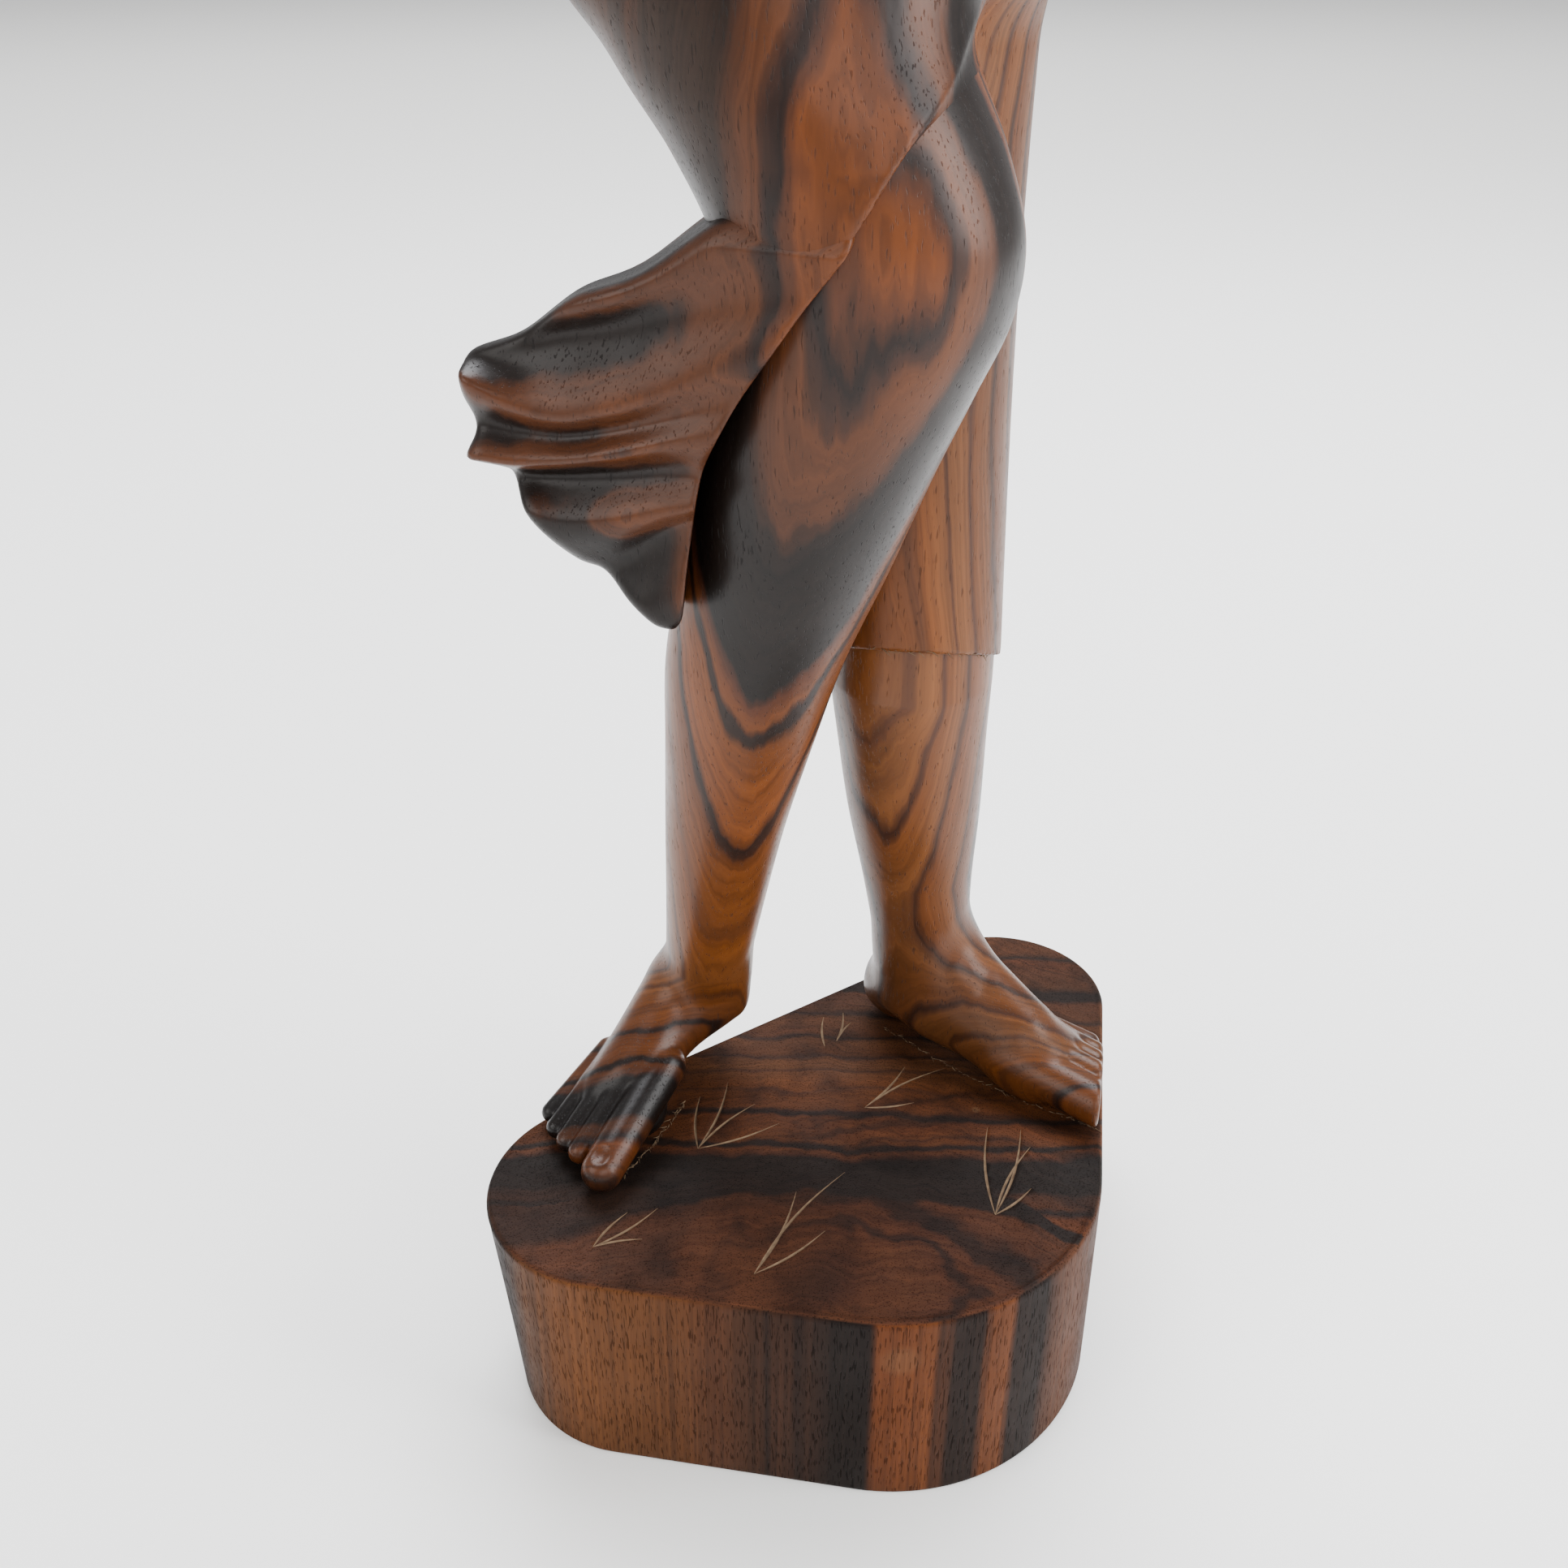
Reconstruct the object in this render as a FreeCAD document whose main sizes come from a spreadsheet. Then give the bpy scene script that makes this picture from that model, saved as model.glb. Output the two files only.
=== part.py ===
import FreeCAD, Part
import math
import os

from FreeCAD import Placement, Rotation, Vector

# Carved standing figure in a wrapped sarong, on a thick free-form block.
# Millimetres, +Z up, origin at the middle of the block's underside, the figure facing -Y.
# The figure's own right side is on -X. It is cut from one block of wood, so the pieces
# here are its carved members, each a closed solid that meets its neighbours face to face.

doc = FreeCAD.newDocument("carved_figure")

# ------------------------------------------------------------ driving dimensions
DIMENSIONS = {
    # block underfoot: the sharp corners of its three-sided outline, and their rounding
    "block_height": 42.0, "block_foot_share": 0.975, "block_foot_shift": 1.6,
    "block_left_x": -92.0, "block_left_y": -33.5, "block_left_round": 22.0,
    "block_front_x": 39.8, "block_front_y": -56.4, "block_front_round": 38.0,
    "block_back_x": 63.3, "block_back_y": 74.2, "block_back_round": 19.6,
    # feet
    "foot_length": 45.0, "heel_half": 5.6, "heel_height": 12.0,
    "instep_half": 8.6, "instep_height": 17.0, "ball_half": 10.0, "ball_height": 9.5,
    "toe_half": 8.0, "toe_height": 5.0,
    "right_heel_x": -18.5, "right_heel_y": 23.0, "right_foot_turn": -120.0,
    "left_heel_x": 12.5, "left_heel_y": 27.0, "left_foot_turn": -34.0,
    # right leg, its bent knee carried across the other leg
    "ankle_z": 52.0, "ankle_half": 7.9, "right_ankle_x": -23.0, "right_ankle_y": 14.5,
    "knee_x": 1.5, "knee_y": -10.0, "knee_z": 176.0, "knee_half": 17.4, "shin_bow": -2.6,
    "cap_x": 1.5, "cap_y": -11.0, "cap_z": 199.0, "cap_half": 19.6,
    "thigh_x": -16.0, "thigh_y": 0.0, "thigh_half": 24.0,
    # left leg, straight, with the sarong down to mid calf
    "left_ankle_x": 19.0, "left_ankle_y": 20.0, "left_leg_x": 13.0, "left_leg_y": 15.0,
    "hem_z": 123.0, "calf_half": 12.3, "panel_half": 14.4, "panel_top_half": 19.0,
    # hips, waist and chest
    "hip_seam_z": 234.0, "hip_x": -5.0, "hip_y": 6.0, "hip_z": 250.0,
    "hip_half": 37.5, "hip_deep": 25.0, "sash_z": 284.0, "sash_half": 25.0, "sash_deep": 19.0,
    "sash_tall": 11.0, "sash_step": 2.0, "waist_x": -1.0, "waist_half": 21.0, "waist_deep": 15.5,
    "bodice_z": 314.0, "bodice_step": 1.2, "chest_x": 2.0, "chest_z": 336.0,
    "chest_half": 26.0, "chest_deep": 19.5, "yoke_z": 352.0, "shoulder_z": 367.0,
    "shoulder_half": 32.0, "shoulder_deep": 12.5,
    # neck, head and hair
    "neck_x": 3.0, "neck_y": 6.0, "neck_half": 8.8, "neck_low_z": 377.0, "neck_tall": 34.0,
    "head_y": 2.0, "head_z": 426.0, "head_half": 17.5, "head_deep": 21.0, "head_tall": 26.0,
    "hair_thick": 2.5, "hairline_y": -9.0, "hairline_z": 440.0,
    "bun_y": 26.0, "bun_z": 438.0, "bun_half": 11.5,
    # arms
    "arm_half": 8.2, "elbow_half": 6.4, "wrist_half": 4.6, "hand_long": 15.0,
    "hand_wide": 8.0, "hand_thick": 5.0, "arm_root_y": 6.0, "arm_root_z": 363.0,
    "right_shoulder_x": -31.0, "right_elbow_x": -57.0, "right_elbow_y": 19.0,
    "right_elbow_z": 303.0, "right_wrist_x": -43.0, "right_wrist_y": -8.0,
    "right_wrist_z": 266.0, "right_hand_x": -35.0, "right_hand_y": -16.0, "right_hand_z": 256.0,
    "left_shoulder_x": 37.0, "left_elbow_x": 48.0, "left_elbow_y": 10.0, "left_elbow_z": 297.0,
    "left_wrist_x": 24.0, "left_wrist_y": -16.0, "left_wrist_z": 318.0,
    "left_hand_x": 13.0, "left_hand_y": -18.5, "left_hand_z": 327.0,
    # cloth blown out from behind the bent knee: a fan with a scalloped edge
    "fan_root_x": -8.0, "fan_root_z": 190.0, "fan_root_half": 4.0, "fan_y": -6.0,
    "fan_deep": 12.0, "fan_reach": 47.5, "fan_first_dip": 16.0, "fan_last_dip": 72.0,
    "fan_scallops": 3.0, "fan_bulge": 3.0,
}

dims = doc.addObject("Spreadsheet::Sheet", "dims")
for line, (name, value) in enumerate(DIMENSIONS.items(), start=1):
    dims.set(f"A{line}", name)
    dims.set(f"B{line}", str(value))
    dims.setAlias(f"B{line}", name)
doc.recompute()


def size(name):
    """A driving dimension as it stands in the sheet."""
    return float(getattr(dims, name))


def bind(thing, **bindings):
    """Ties properties to sheet expressions; a double underscore stands for a dot."""
    for prop, expression in bindings.items():
        thing.setExpression(prop.replace("__", "."), str(expression))


# ------------------------------------------------------------ shape helpers
def oval(name, x, y, z, wide, deep, tilt=None):
    """A level oval about (x, y, z), wide along X unless it is deeper along Y, or tilted."""
    ring = doc.addObject("Part::Ellipse", name)
    ring.Placement = Placement(Vector(), tilt or Rotation())
    bind(ring, MajorRadius=wide, MinorRadius=deep,
         Placement__Base__x=x, Placement__Base__y=y, Placement__Base__z=z)
    return ring


def loft(name, ovals):
    """A solid through a row of ovals."""
    solid = doc.addObject("Part::Loft", name)
    solid.Sections = ovals
    solid.Solid = True
    solid.Ruled = False
    return solid


def cut(name, base, *tools):
    """Base with each tool taken out of it, one after the other."""
    for number, tool in enumerate(tools, start=1):
        result = doc.addObject("Part::Cut", f"{name}_cut{number}")
        result.Base = base
        result.Tool = tool
        base = result
    return base


def fuse(name, *solids):
    joined = doc.addObject("Part::MultiFuse", name)
    joined.Shapes = list(solids)
    joined.Refine = False
    return joined


def ball(name, x, y, z, radius):
    sphere = doc.addObject("Part::Sphere", name)
    bind(sphere, Radius=radius, Placement__Base__x=x, Placement__Base__y=y, Placement__Base__z=z)
    return sphere


def egg(name, x, y, z, half_x, half_y, half_z, turn=None):
    """An ellipsoid."""
    solid = doc.addObject("Part::Ellipsoid", name)
    solid.Placement = Placement(Vector(), turn or Rotation())
    bind(solid, Radius1=half_z, Radius2=half_x, Radius3=half_y,
         Placement__Base__x=x, Placement__Base__y=y, Placement__Base__z=z)
    return solid


def point(prefix):
    """The sheet's prefix_x, prefix_y and prefix_z as a vector."""
    return Vector(size(prefix + "_x"), size(prefix + "_y"), size(prefix + "_z"))


def between(first, second, share):
    """An expression for a value part of the way from one expression to another."""
    return f"{first} + {share} * ({second} - ({first}))"


# ------------------------------------------------------------ the block
def rounded_outline(corners):
    """Lines and arcs round a closed outline, from (x, y, rounding) at each sharp corner."""
    edges = []
    arcs = []
    for i, (x, y, radius) in enumerate(corners):
        here = Vector(x, y, 0)
        before = Vector(*corners[i - 1][:2], 0) - here
        after = Vector(*corners[(i + 1) % len(corners)][:2], 0) - here
        before.normalize()
        after.normalize()
        half_angle = before.getAngle(after) / 2
        reach = radius / math.tan(half_angle)
        middle = (before + after).normalize()
        crown = here + middle * (radius / math.sin(half_angle) - radius)
        arcs.append((here + before * reach, crown, here + after * reach))
    for i, (start, crown, end) in enumerate(arcs):
        edges.append(Part.Arc(start, crown, end))
        edges.append(Part.LineSegment(end, arcs[(i + 1) % len(arcs)][0]))
    return edges


def block_sketch(body, name, share, shift, level):
    """The block's outline as a sketch, scaled by share, moved along X and raised to level."""
    corners = []
    for side in ("left", "front", "back"):
        corners.append((
            size(f"block_{side}_x") * share + shift,
            size(f"block_{side}_y") * share,
            size(f"block_{side}_round") * share,
        ))
    sketch = body.newObject("Sketcher::SketchObject", name)
    base_plane = [p for p in body.Origin.OriginFeatures if p.Role == "XY_Plane"][0]
    sketch.AttachmentSupport = [(base_plane, "")]
    sketch.MapMode = "FlatFace"
    bind(sketch, AttachmentOffset__Base__z=level)
    for edge in rounded_outline(corners):
        sketch.addGeometry(edge, False)
    return sketch


def make_block():
    body = doc.addObject("PartDesign::Body", "block_body")
    foot = block_sketch(body, "block_foot", size("block_foot_share"), size("block_foot_shift"), "0")
    rim = block_sketch(body, "block_rim", 1.0, 0.0, "dims.block_height")
    rise = body.newObject("PartDesign::AdditiveLoft", "block_rise")
    rise.Profile = foot
    rise.Sections = [rim]
    rise.Ruled = True
    return body


# ------------------------------------------------------------ feet and legs
def foot_section(body, name, along, half, tall):
    """A flat-soled arch across the foot, as a sketch that stands up at a place along it."""
    sketch = body.newObject("Sketcher::SketchObject", name)
    cross_plane = [p for p in body.Origin.OriginFeatures if p.Role == "YZ_Plane"][0]
    sketch.AttachmentSupport = [(cross_plane, "")]
    sketch.MapMode = "FlatFace"
    bind(sketch, AttachmentOffset__Base__z=along)
    width, height = size(half), size(tall)
    left, top, right = Vector(-width, 0, 0), Vector(0, height, 0), Vector(width, 0, 0)
    sketch.addGeometry(Part.Arc(left, top, right), False)
    sketch.addGeometry(Part.LineSegment(left, right), False)
    return sketch


def make_foot(side):
    """Heel, instep, ball and toes, one arch each, standing on the block."""
    body = doc.addObject("PartDesign::Body", f"{side}_foot_body")
    arches = [
        foot_section(body, f"{side}_heel_arch", "0", "heel_half", "heel_height"),
        foot_section(body, f"{side}_instep_arch", "0.3 * dims.foot_length",
                     "instep_half", "instep_height"),
        foot_section(body, f"{side}_ball_arch", "0.7 * dims.foot_length",
                     "ball_half", "ball_height"),
        foot_section(body, f"{side}_toe_arch", "dims.foot_length", "toe_half", "toe_height"),
    ]
    flesh = body.newObject("PartDesign::AdditiveLoft", f"{side}_foot_loft")
    flesh.Profile = arches[0]
    flesh.Sections = arches[1:]
    body.Placement = Placement(
        Vector(size(f"{side}_heel_x"), size(f"{side}_heel_y"), size("block_height")),
        Rotation(Vector(0, 0, 1), size(f"{side}_foot_turn")),
    )
    return body


def make_right_leg():
    """Ankle to the top of the knee. The shin bows out to the figure's right."""
    ankle = ("dims.right_ankle_x", "dims.right_ankle_y", "dims.ankle_z", "dims.ankle_half")
    knee = ("dims.knee_x", "dims.knee_y", "dims.knee_z", "dims.knee_half")
    rings = []
    for number, (share, bow, swell) in enumerate([(0, 0, 1), (0.3, 1, 1), (0.65, 1, 1), (1, 0, 1)]):
        x, y, z, half = (between(a, b, share) for a, b in zip(ankle, knee))
        rings.append(oval(f"shin_ring{number}", f"{x} + {bow} * dims.shin_bow", y, z,
                          f"{swell} * ({half})", f"0.9 * ({half})"))
    rings.append(oval("knee_cap_ring", "dims.cap_x", "dims.cap_y", "dims.cap_z",
                      "dims.cap_half", "0.86 * dims.cap_half"))
    return loft("right_lower_leg", rings)


def make_right_panel():
    """Sarong over the right thigh, knee to hip seam."""
    cap = ("dims.cap_x", "dims.cap_y", "dims.cap_z", "dims.cap_half")
    thigh = ("dims.thigh_x", "dims.thigh_y", "dims.hip_seam_z", "dims.thigh_half")
    rings = []
    for number, share in enumerate([0, 0.5, 1]):
        x, y, z, half = (between(a, b, share) for a, b in zip(cap, thigh))
        rings.append(oval(f"thigh_ring{number}", x, y, z, half, f"0.86 * ({half})"))
    return loft("right_panel_loft", rings)


def make_left_leg():
    """Bare lower leg, ankle to the sarong's hem."""
    rings = [
        oval("left_ankle_ring", "dims.left_ankle_x", "dims.left_ankle_y", "dims.ankle_z",
             "dims.ankle_half", "0.95 * dims.ankle_half"),
        oval("left_shin_ring", "dims.left_ankle_x - 3.5", "dims.left_ankle_y - 1",
             "0.5 * (dims.ankle_z + dims.hem_z)",
             "0.5 * (dims.ankle_half + dims.calf_half)", "0.5 * (dims.ankle_half + dims.calf_half)"),
        oval("left_calf_ring", "dims.left_leg_x", "dims.left_leg_y", "dims.hem_z",
             "dims.calf_half", "dims.calf_half"),
    ]
    return loft("left_leg_loft", rings)


def make_left_panel():
    """Sarong over the standing leg, hem to hip seam."""
    rings = []
    for number, share in enumerate([0, 0.5, 1]):
        z = between("dims.hem_z", "dims.hip_seam_z", share)
        half = between("dims.panel_half", "dims.panel_top_half", share * share)
        rings.append(oval(f"panel_ring{number}", "dims.left_leg_x", "dims.left_leg_y", z, half,
                          f"0.92 * ({half})"))
    return loft("left_panel_loft", rings)


def make_fan():
    """The blown cloth, a thick fan whose edge is a row of outward arcs."""
    body = doc.addObject("PartDesign::Body", "fan_body")
    sketch = body.newObject("Sketcher::SketchObject", "fan_outline")
    front_plane = [p for p in body.Origin.OriginFeatures if p.Role == "XZ_Plane"][0]
    sketch.AttachmentSupport = [(front_plane, "")]
    sketch.MapMode = "FlatFace"
    bind(sketch, AttachmentOffset__Base__z="-(dims.fan_y + 0.5 * dims.fan_deep)")

    def spot(reach, dip):
        angle = math.radians(dip)
        return Vector(size("fan_root_x") - reach * math.cos(angle),
                      size("fan_root_z") - reach * math.sin(angle), 0)

    first, last, count = size("fan_first_dip"), size("fan_last_dip"), int(size("fan_scallops"))
    step = (last - first) / count
    rim = [spot(size("fan_reach"), first + step * i) for i in range(count + 1)]
    crowns = [spot(size("fan_reach") + size("fan_bulge"), first + step * (i + 0.5))
              for i in range(count)]
    top = spot(size("fan_root_half"), first - 90)
    low = spot(size("fan_root_half"), last + 90)
    edges = [Part.Arc(rim[i], crowns[i], rim[i + 1]) for i in range(count)]
    edges += [Part.LineSegment(rim[-1], low), Part.LineSegment(low, top),
              Part.LineSegment(top, rim[0])]
    for edge in edges:
        sketch.addGeometry(edge, False)
    pad = body.newObject("PartDesign::Pad", "fan_pad")
    pad.Profile = sketch
    bind(pad, Length="dims.fan_deep")
    return body


# ------------------------------------------------------------ trunk
def make_trunk():
    """Hips, sash, midriff, bodice and yoke, stacked with level joints."""
    hips = loft("sarong_hips", [
        oval("hip_low_ring", "dims.hip_x", "dims.hip_y", "dims.hip_seam_z",
             "0.96 * dims.hip_half", "0.94 * dims.hip_deep"),
        oval("hip_ring", "dims.hip_x", "dims.hip_y", "dims.hip_z",
             "dims.hip_half", "dims.hip_deep"),
        oval("hip_top_ring", "dims.waist_x", "dims.hip_y", "dims.sash_z",
             "dims.sash_half", "dims.sash_deep"),
    ])
    sash = loft("waist_sash", [
        oval("sash_low_ring", "dims.waist_x", "dims.hip_y", "dims.sash_z",
             "dims.sash_half + dims.sash_step", "dims.sash_deep + dims.sash_step"),
        oval("sash_top_ring", "dims.waist_x", "dims.hip_y", "dims.sash_z + dims.sash_tall",
             "dims.waist_half + dims.sash_step", "dims.waist_deep + dims.sash_step"),
    ])
    midriff = loft("midriff", [
        oval("midriff_low_ring", "dims.waist_x", "dims.hip_y", "dims.sash_z + dims.sash_tall",
             "dims.waist_half", "dims.waist_deep"),
        oval("midriff_top_ring", "0.5 * (dims.waist_x + dims.chest_x)", "dims.hip_y",
             "dims.bodice_z", "dims.waist_half + 1", "dims.waist_deep + 0.5"),
    ])
    bodice = loft("bodice", [
        oval("bodice_low_ring", "0.5 * (dims.waist_x + dims.chest_x)", "dims.hip_y",
             "dims.bodice_z", "dims.waist_half + 1 + dims.bodice_step",
             "dims.waist_deep + 0.5 + dims.bodice_step"),
        oval("chest_ring", "dims.chest_x", "dims.hip_y - 1.5", "dims.chest_z",
             "dims.chest_half", "dims.chest_deep"),
        oval("bodice_top_ring", "dims.neck_x", "dims.hip_y", "dims.yoke_z",
             "dims.chest_half + dims.bodice_step", "0.86 * dims.chest_deep"),
    ])
    yoke = loft("shoulders", [
        oval("yoke_low_ring", "dims.neck_x", "dims.hip_y", "dims.yoke_z",
             "dims.chest_half", "0.8 * dims.chest_deep"),
        oval("shoulder_ring", "dims.neck_x", "dims.hip_y", "dims.shoulder_z",
             "dims.shoulder_half", "dims.shoulder_deep"),
        oval("neck_root_ring", "dims.neck_x", "dims.neck_y", "dims.neck_low_z",
             "1.5 * dims.neck_half", "1.1 * dims.neck_half"),
    ])
    return hips, sash, midriff, bodice, yoke


# ------------------------------------------------------------ head and arms
def make_head():
    """Neck, head, cap of hair and the knot of hair behind it."""
    head = egg("head", "dims.neck_x", "dims.head_y", "dims.head_z",
               "dims.head_half", "dims.head_deep", "dims.head_tall")
    post = doc.addObject("Part::Cylinder", "neck_post")
    bind(post, Radius="dims.neck_half", Height="dims.neck_tall",
         Placement__Base__x="dims.neck_x", Placement__Base__y="dims.neck_y",
         Placement__Base__z="dims.neck_low_z")
    cap = egg("hair_cap", "dims.neck_x", "dims.head_y + 1", "dims.head_z + 1",
              "dims.head_half + dims.hair_thick", "dims.head_deep + dims.hair_thick",
              "dims.head_tall + dims.hair_thick")
    face = doc.addObject("Part::Box", "face_clearance")
    bind(face, Length="3 * dims.head_half", Width="2 * dims.head_deep",
         Height="2 * dims.head_tall", Placement__Base__x="dims.neck_x - 1.5 * dims.head_half",
         Placement__Base__y="dims.hairline_y - 2 * dims.head_deep",
         Placement__Base__z="dims.hairline_z - 2 * dims.head_tall")
    nape = doc.addObject("Part::Box", "nape_clearance")
    bind(nape, Length="3 * dims.head_half", Width="4 * dims.head_deep", Height="dims.head_tall",
         Placement__Base__x="dims.neck_x - 1.5 * dims.head_half",
         Placement__Base__y="dims.head_y - 2 * dims.head_deep",
         Placement__Base__z="dims.head_z - 0.45 * dims.head_tall - dims.head_tall")
    neck = cut("neck", post, head)
    hair = cut("hair", cap, head, face, nape)
    knot = egg("hair_knot", "dims.neck_x", "dims.bun_y", "dims.bun_z",
               "dims.bun_half", "0.85 * dims.bun_half", "dims.bun_half")
    return head, neck, hair, cut("bun", knot, cap)


def tapered(name, start, end, start_half, end_half):
    """A round limb from one point to the next, with a ball at its far end."""
    along = end - start
    limb = doc.addObject("Part::Cone", f"{name}_cone")
    limb.Placement = Placement(start, Rotation(Vector(0, 0, 1), along))
    limb.Height = along.Length
    bind(limb, Radius1=start_half, Radius2=end_half)
    return limb


def make_arm(side, body_parts):
    """Upper arm, forearm and hand, each cut clear of what it lies against."""
    shoulder = Vector(size(f"{side}_shoulder_x"), size("arm_root_y"), size("arm_root_z"))
    elbow, wrist, hand = (point(f"{side}_{joint}") for joint in ("elbow", "wrist", "hand"))
    upper = fuse(f"{side}_upper_arm_solid",
                 tapered(f"{side}_upper", shoulder, elbow, "dims.arm_half", "dims.elbow_half"),
                 ball(f"{side}_shoulder_ball", f"dims.{side}_shoulder_x", "dims.arm_root_y",
                      "dims.arm_root_z", "dims.arm_half"),
                 ball(f"{side}_elbow_ball", f"dims.{side}_elbow_x", f"dims.{side}_elbow_y",
                      f"dims.{side}_elbow_z", "dims.elbow_half"))
    lower = tapered(f"{side}_lower", elbow, wrist, "0.97 * dims.elbow_half", "dims.wrist_half")
    palm = egg(f"{side}_palm", f"dims.{side}_hand_x", f"dims.{side}_hand_y",
               f"dims.{side}_hand_z", "dims.hand_wide", "dims.hand_thick", "dims.hand_long",
               Rotation(Vector(0, 0, 1), hand - wrist))
    return (
        cut(f"{side}_upper_arm", upper, *body_parts),
        cut(f"{side}_forearm", lower, upper, *body_parts),
        cut(f"{side}_hand", palm, lower, *body_parts),
    )


# ------------------------------------------------------------ assembly
block = make_block()
right_leg = make_right_leg()
right_panel = make_right_panel()
left_leg_loft = make_left_leg()
left_panel_loft = make_left_panel()
hips, sash, midriff, bodice, yoke = make_trunk()
head, neck, hair, bun = make_head()
right_arm = make_arm("right", (yoke, hips))
left_arm = make_arm("left", (yoke, bodice))

NODES = {
    "base_block": block,
    "right_foot": cut("right_foot", make_foot("right"), right_leg),
    "right_lower_leg": right_leg,
    "left_foot": cut("left_foot", make_foot("left"), left_leg_loft),
    "left_lower_leg": cut("left_leg", left_leg_loft, right_leg),
    "sarong_left_panel": cut("left_panel", left_panel_loft, right_leg, right_panel),
    "sarong_right_panel": right_panel,
    "blown_cloth": cut("fan", make_fan(), right_leg, right_panel, left_panel_loft),
    "sarong_hip_wrap": hips,
    "waist_sash": sash,
    "midriff": midriff,
    "bodice": bodice,
    "shoulders": yoke,
    "neck": neck,
    "head": head,
    "hair_cap": hair,
    "hair_bun": bun,
    "right_upper_arm": right_arm[0],
    "right_forearm": right_arm[1],
    "right_hand": right_arm[2],
    "left_upper_arm": left_arm[0],
    "left_forearm": left_arm[1],
    "left_hand": left_arm[2],
}
for label, thing in NODES.items():
    thing.Label = label
doc.recompute()

# ------------------------------------------------------------ checks and export
for thing in doc.Objects:
    if any(word in thing.State for word in ("Invalid", "Error")):
        raise SystemExit(f"{thing.Label} failed: {thing.State}")
os.makedirs("parts", exist_ok=True)
for label, thing in NODES.items():
    shape = thing.Shape
    if shape.isNull() or not shape.isValid() or not shape.Solids:
        raise SystemExit(f"{label} has no valid solid")
    shape.exportStep(f"parts/{label}.step")
    print(f"{label}: {len(shape.Solids)} solid, {shape.Volume / 1000:.2f} cm3")
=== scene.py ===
import math
import time

import bmesh
import bpy
import numpy as np
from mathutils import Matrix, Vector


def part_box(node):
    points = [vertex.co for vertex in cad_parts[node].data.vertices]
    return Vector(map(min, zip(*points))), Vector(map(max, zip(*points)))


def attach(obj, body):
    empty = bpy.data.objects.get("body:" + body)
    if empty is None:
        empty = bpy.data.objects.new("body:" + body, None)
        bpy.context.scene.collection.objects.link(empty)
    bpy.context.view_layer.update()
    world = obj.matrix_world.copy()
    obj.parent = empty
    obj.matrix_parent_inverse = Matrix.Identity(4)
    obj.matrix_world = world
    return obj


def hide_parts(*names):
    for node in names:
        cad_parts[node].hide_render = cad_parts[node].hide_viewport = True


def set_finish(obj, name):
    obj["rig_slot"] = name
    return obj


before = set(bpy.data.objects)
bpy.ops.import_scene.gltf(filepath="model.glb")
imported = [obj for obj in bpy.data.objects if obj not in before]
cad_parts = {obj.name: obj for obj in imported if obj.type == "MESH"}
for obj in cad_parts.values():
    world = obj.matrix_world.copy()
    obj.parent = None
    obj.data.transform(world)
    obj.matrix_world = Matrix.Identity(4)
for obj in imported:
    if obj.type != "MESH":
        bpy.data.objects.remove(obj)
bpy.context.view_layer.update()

import openvdb
from mathutils import Vector

started = time.time()
# Shapes are worked out in millimetres and turned into metres as they become meshes.
mm = 0.001
coarse = 1.0


# carving fields
# A field gives, for an array of points, how far each lies outside the wood (negative inside).
def softMin(a, b, k):
    h = np.clip(0.5 + 0.5 * (b - a) / k, 0, 1)
    return b + (a - b) * h - k * h * (1 - h)


def softMax(a, b, k):
    return -softMin(-a, -b, k)


def smoothStep(value, low, high):
    t = np.clip((value - low) / (high - low), 0, 1)
    return t * t * (3 - 2 * t)


# smooth curve through the knots, level beyond both ends
def curveThrough(value, knots, heights):
    knots = np.asarray(knots, float)
    heights = np.asarray(heights, float)
    slopes = np.gradient(heights, knots)
    value = np.clip(value, knots[0], knots[-1])
    i = np.clip(np.searchsorted(knots, value) - 1, 0, len(knots) - 2)
    span = knots[i + 1] - knots[i]
    t = (value - knots[i]) / span
    return ((2 * t**3 - 3 * t**2 + 1) * heights[i] + (t**3 - 2 * t**2 + t) * span * slopes[i]
            + (3 * t**2 - 2 * t**3) * heights[i + 1] + (t**3 - t**2) * span * slopes[i + 1])


# upright limb through stations of (height, middle x, middle y, half width, half depth)
def column(p, stations):
    knots, *rows = np.array(sorted(stations), float).T
    cx, cy, a, b = (curveThrough(p[:, 2], knots, row) for row in rows)
    dx, dy = p[:, 0] - cx, p[:, 1] - cy
    r = np.sqrt((dx / a) ** 2 + (dy / b) ** 2) + 1e-6
    steep = np.sqrt((dx / a**2) ** 2 + (dy / b**2) ** 2) + 1e-6
    return r * (r - 1) / steep


# round limb that tapers from start to end, with rounded ends
def rod(p, start, end, startRadius, endRadius):
    start = np.asarray(start, float)
    along = np.asarray(end, float) - start
    t = np.clip(((p - start) @ along) / (along @ along), 0, 1)
    return np.linalg.norm(p - start - t[:, None] * along, axis=1) - (
        startRadius + t * (endRadius - startRadius))


# egg with three half sizes, its own axes being the rows of turn
def lump(p, middle, halves, turn=None):
    q = p - np.asarray(middle, float)
    if turn is not None:
        q = q @ np.asarray(turn, float).T
    halves = np.asarray(halves, float)
    r = np.linalg.norm(q / halves, axis=1) + 1e-6
    steep = np.linalg.norm(q / halves**2, axis=1) + 1e-6
    return r * (r - 1) / steep


# axes for something lying along a heading in degrees: along, to its left, up
def facing(heading):
    c, s = math.cos(math.radians(heading)), math.sin(math.radians(heading))
    return np.array([[c, s, 0], [-s, c, 0], [0, 0, 1.0]])


def finishPiece(name, mesh, nodes, slot):
    piece = bpy.data.objects.new(name, mesh)
    bpy.context.scene.collection.objects.link(piece)
    for face in mesh.polygons:
        face.use_smooth = True
    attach(piece, "root")
    if nodes:
        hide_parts(*nodes)
    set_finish(piece, slot)
    return piece


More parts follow.
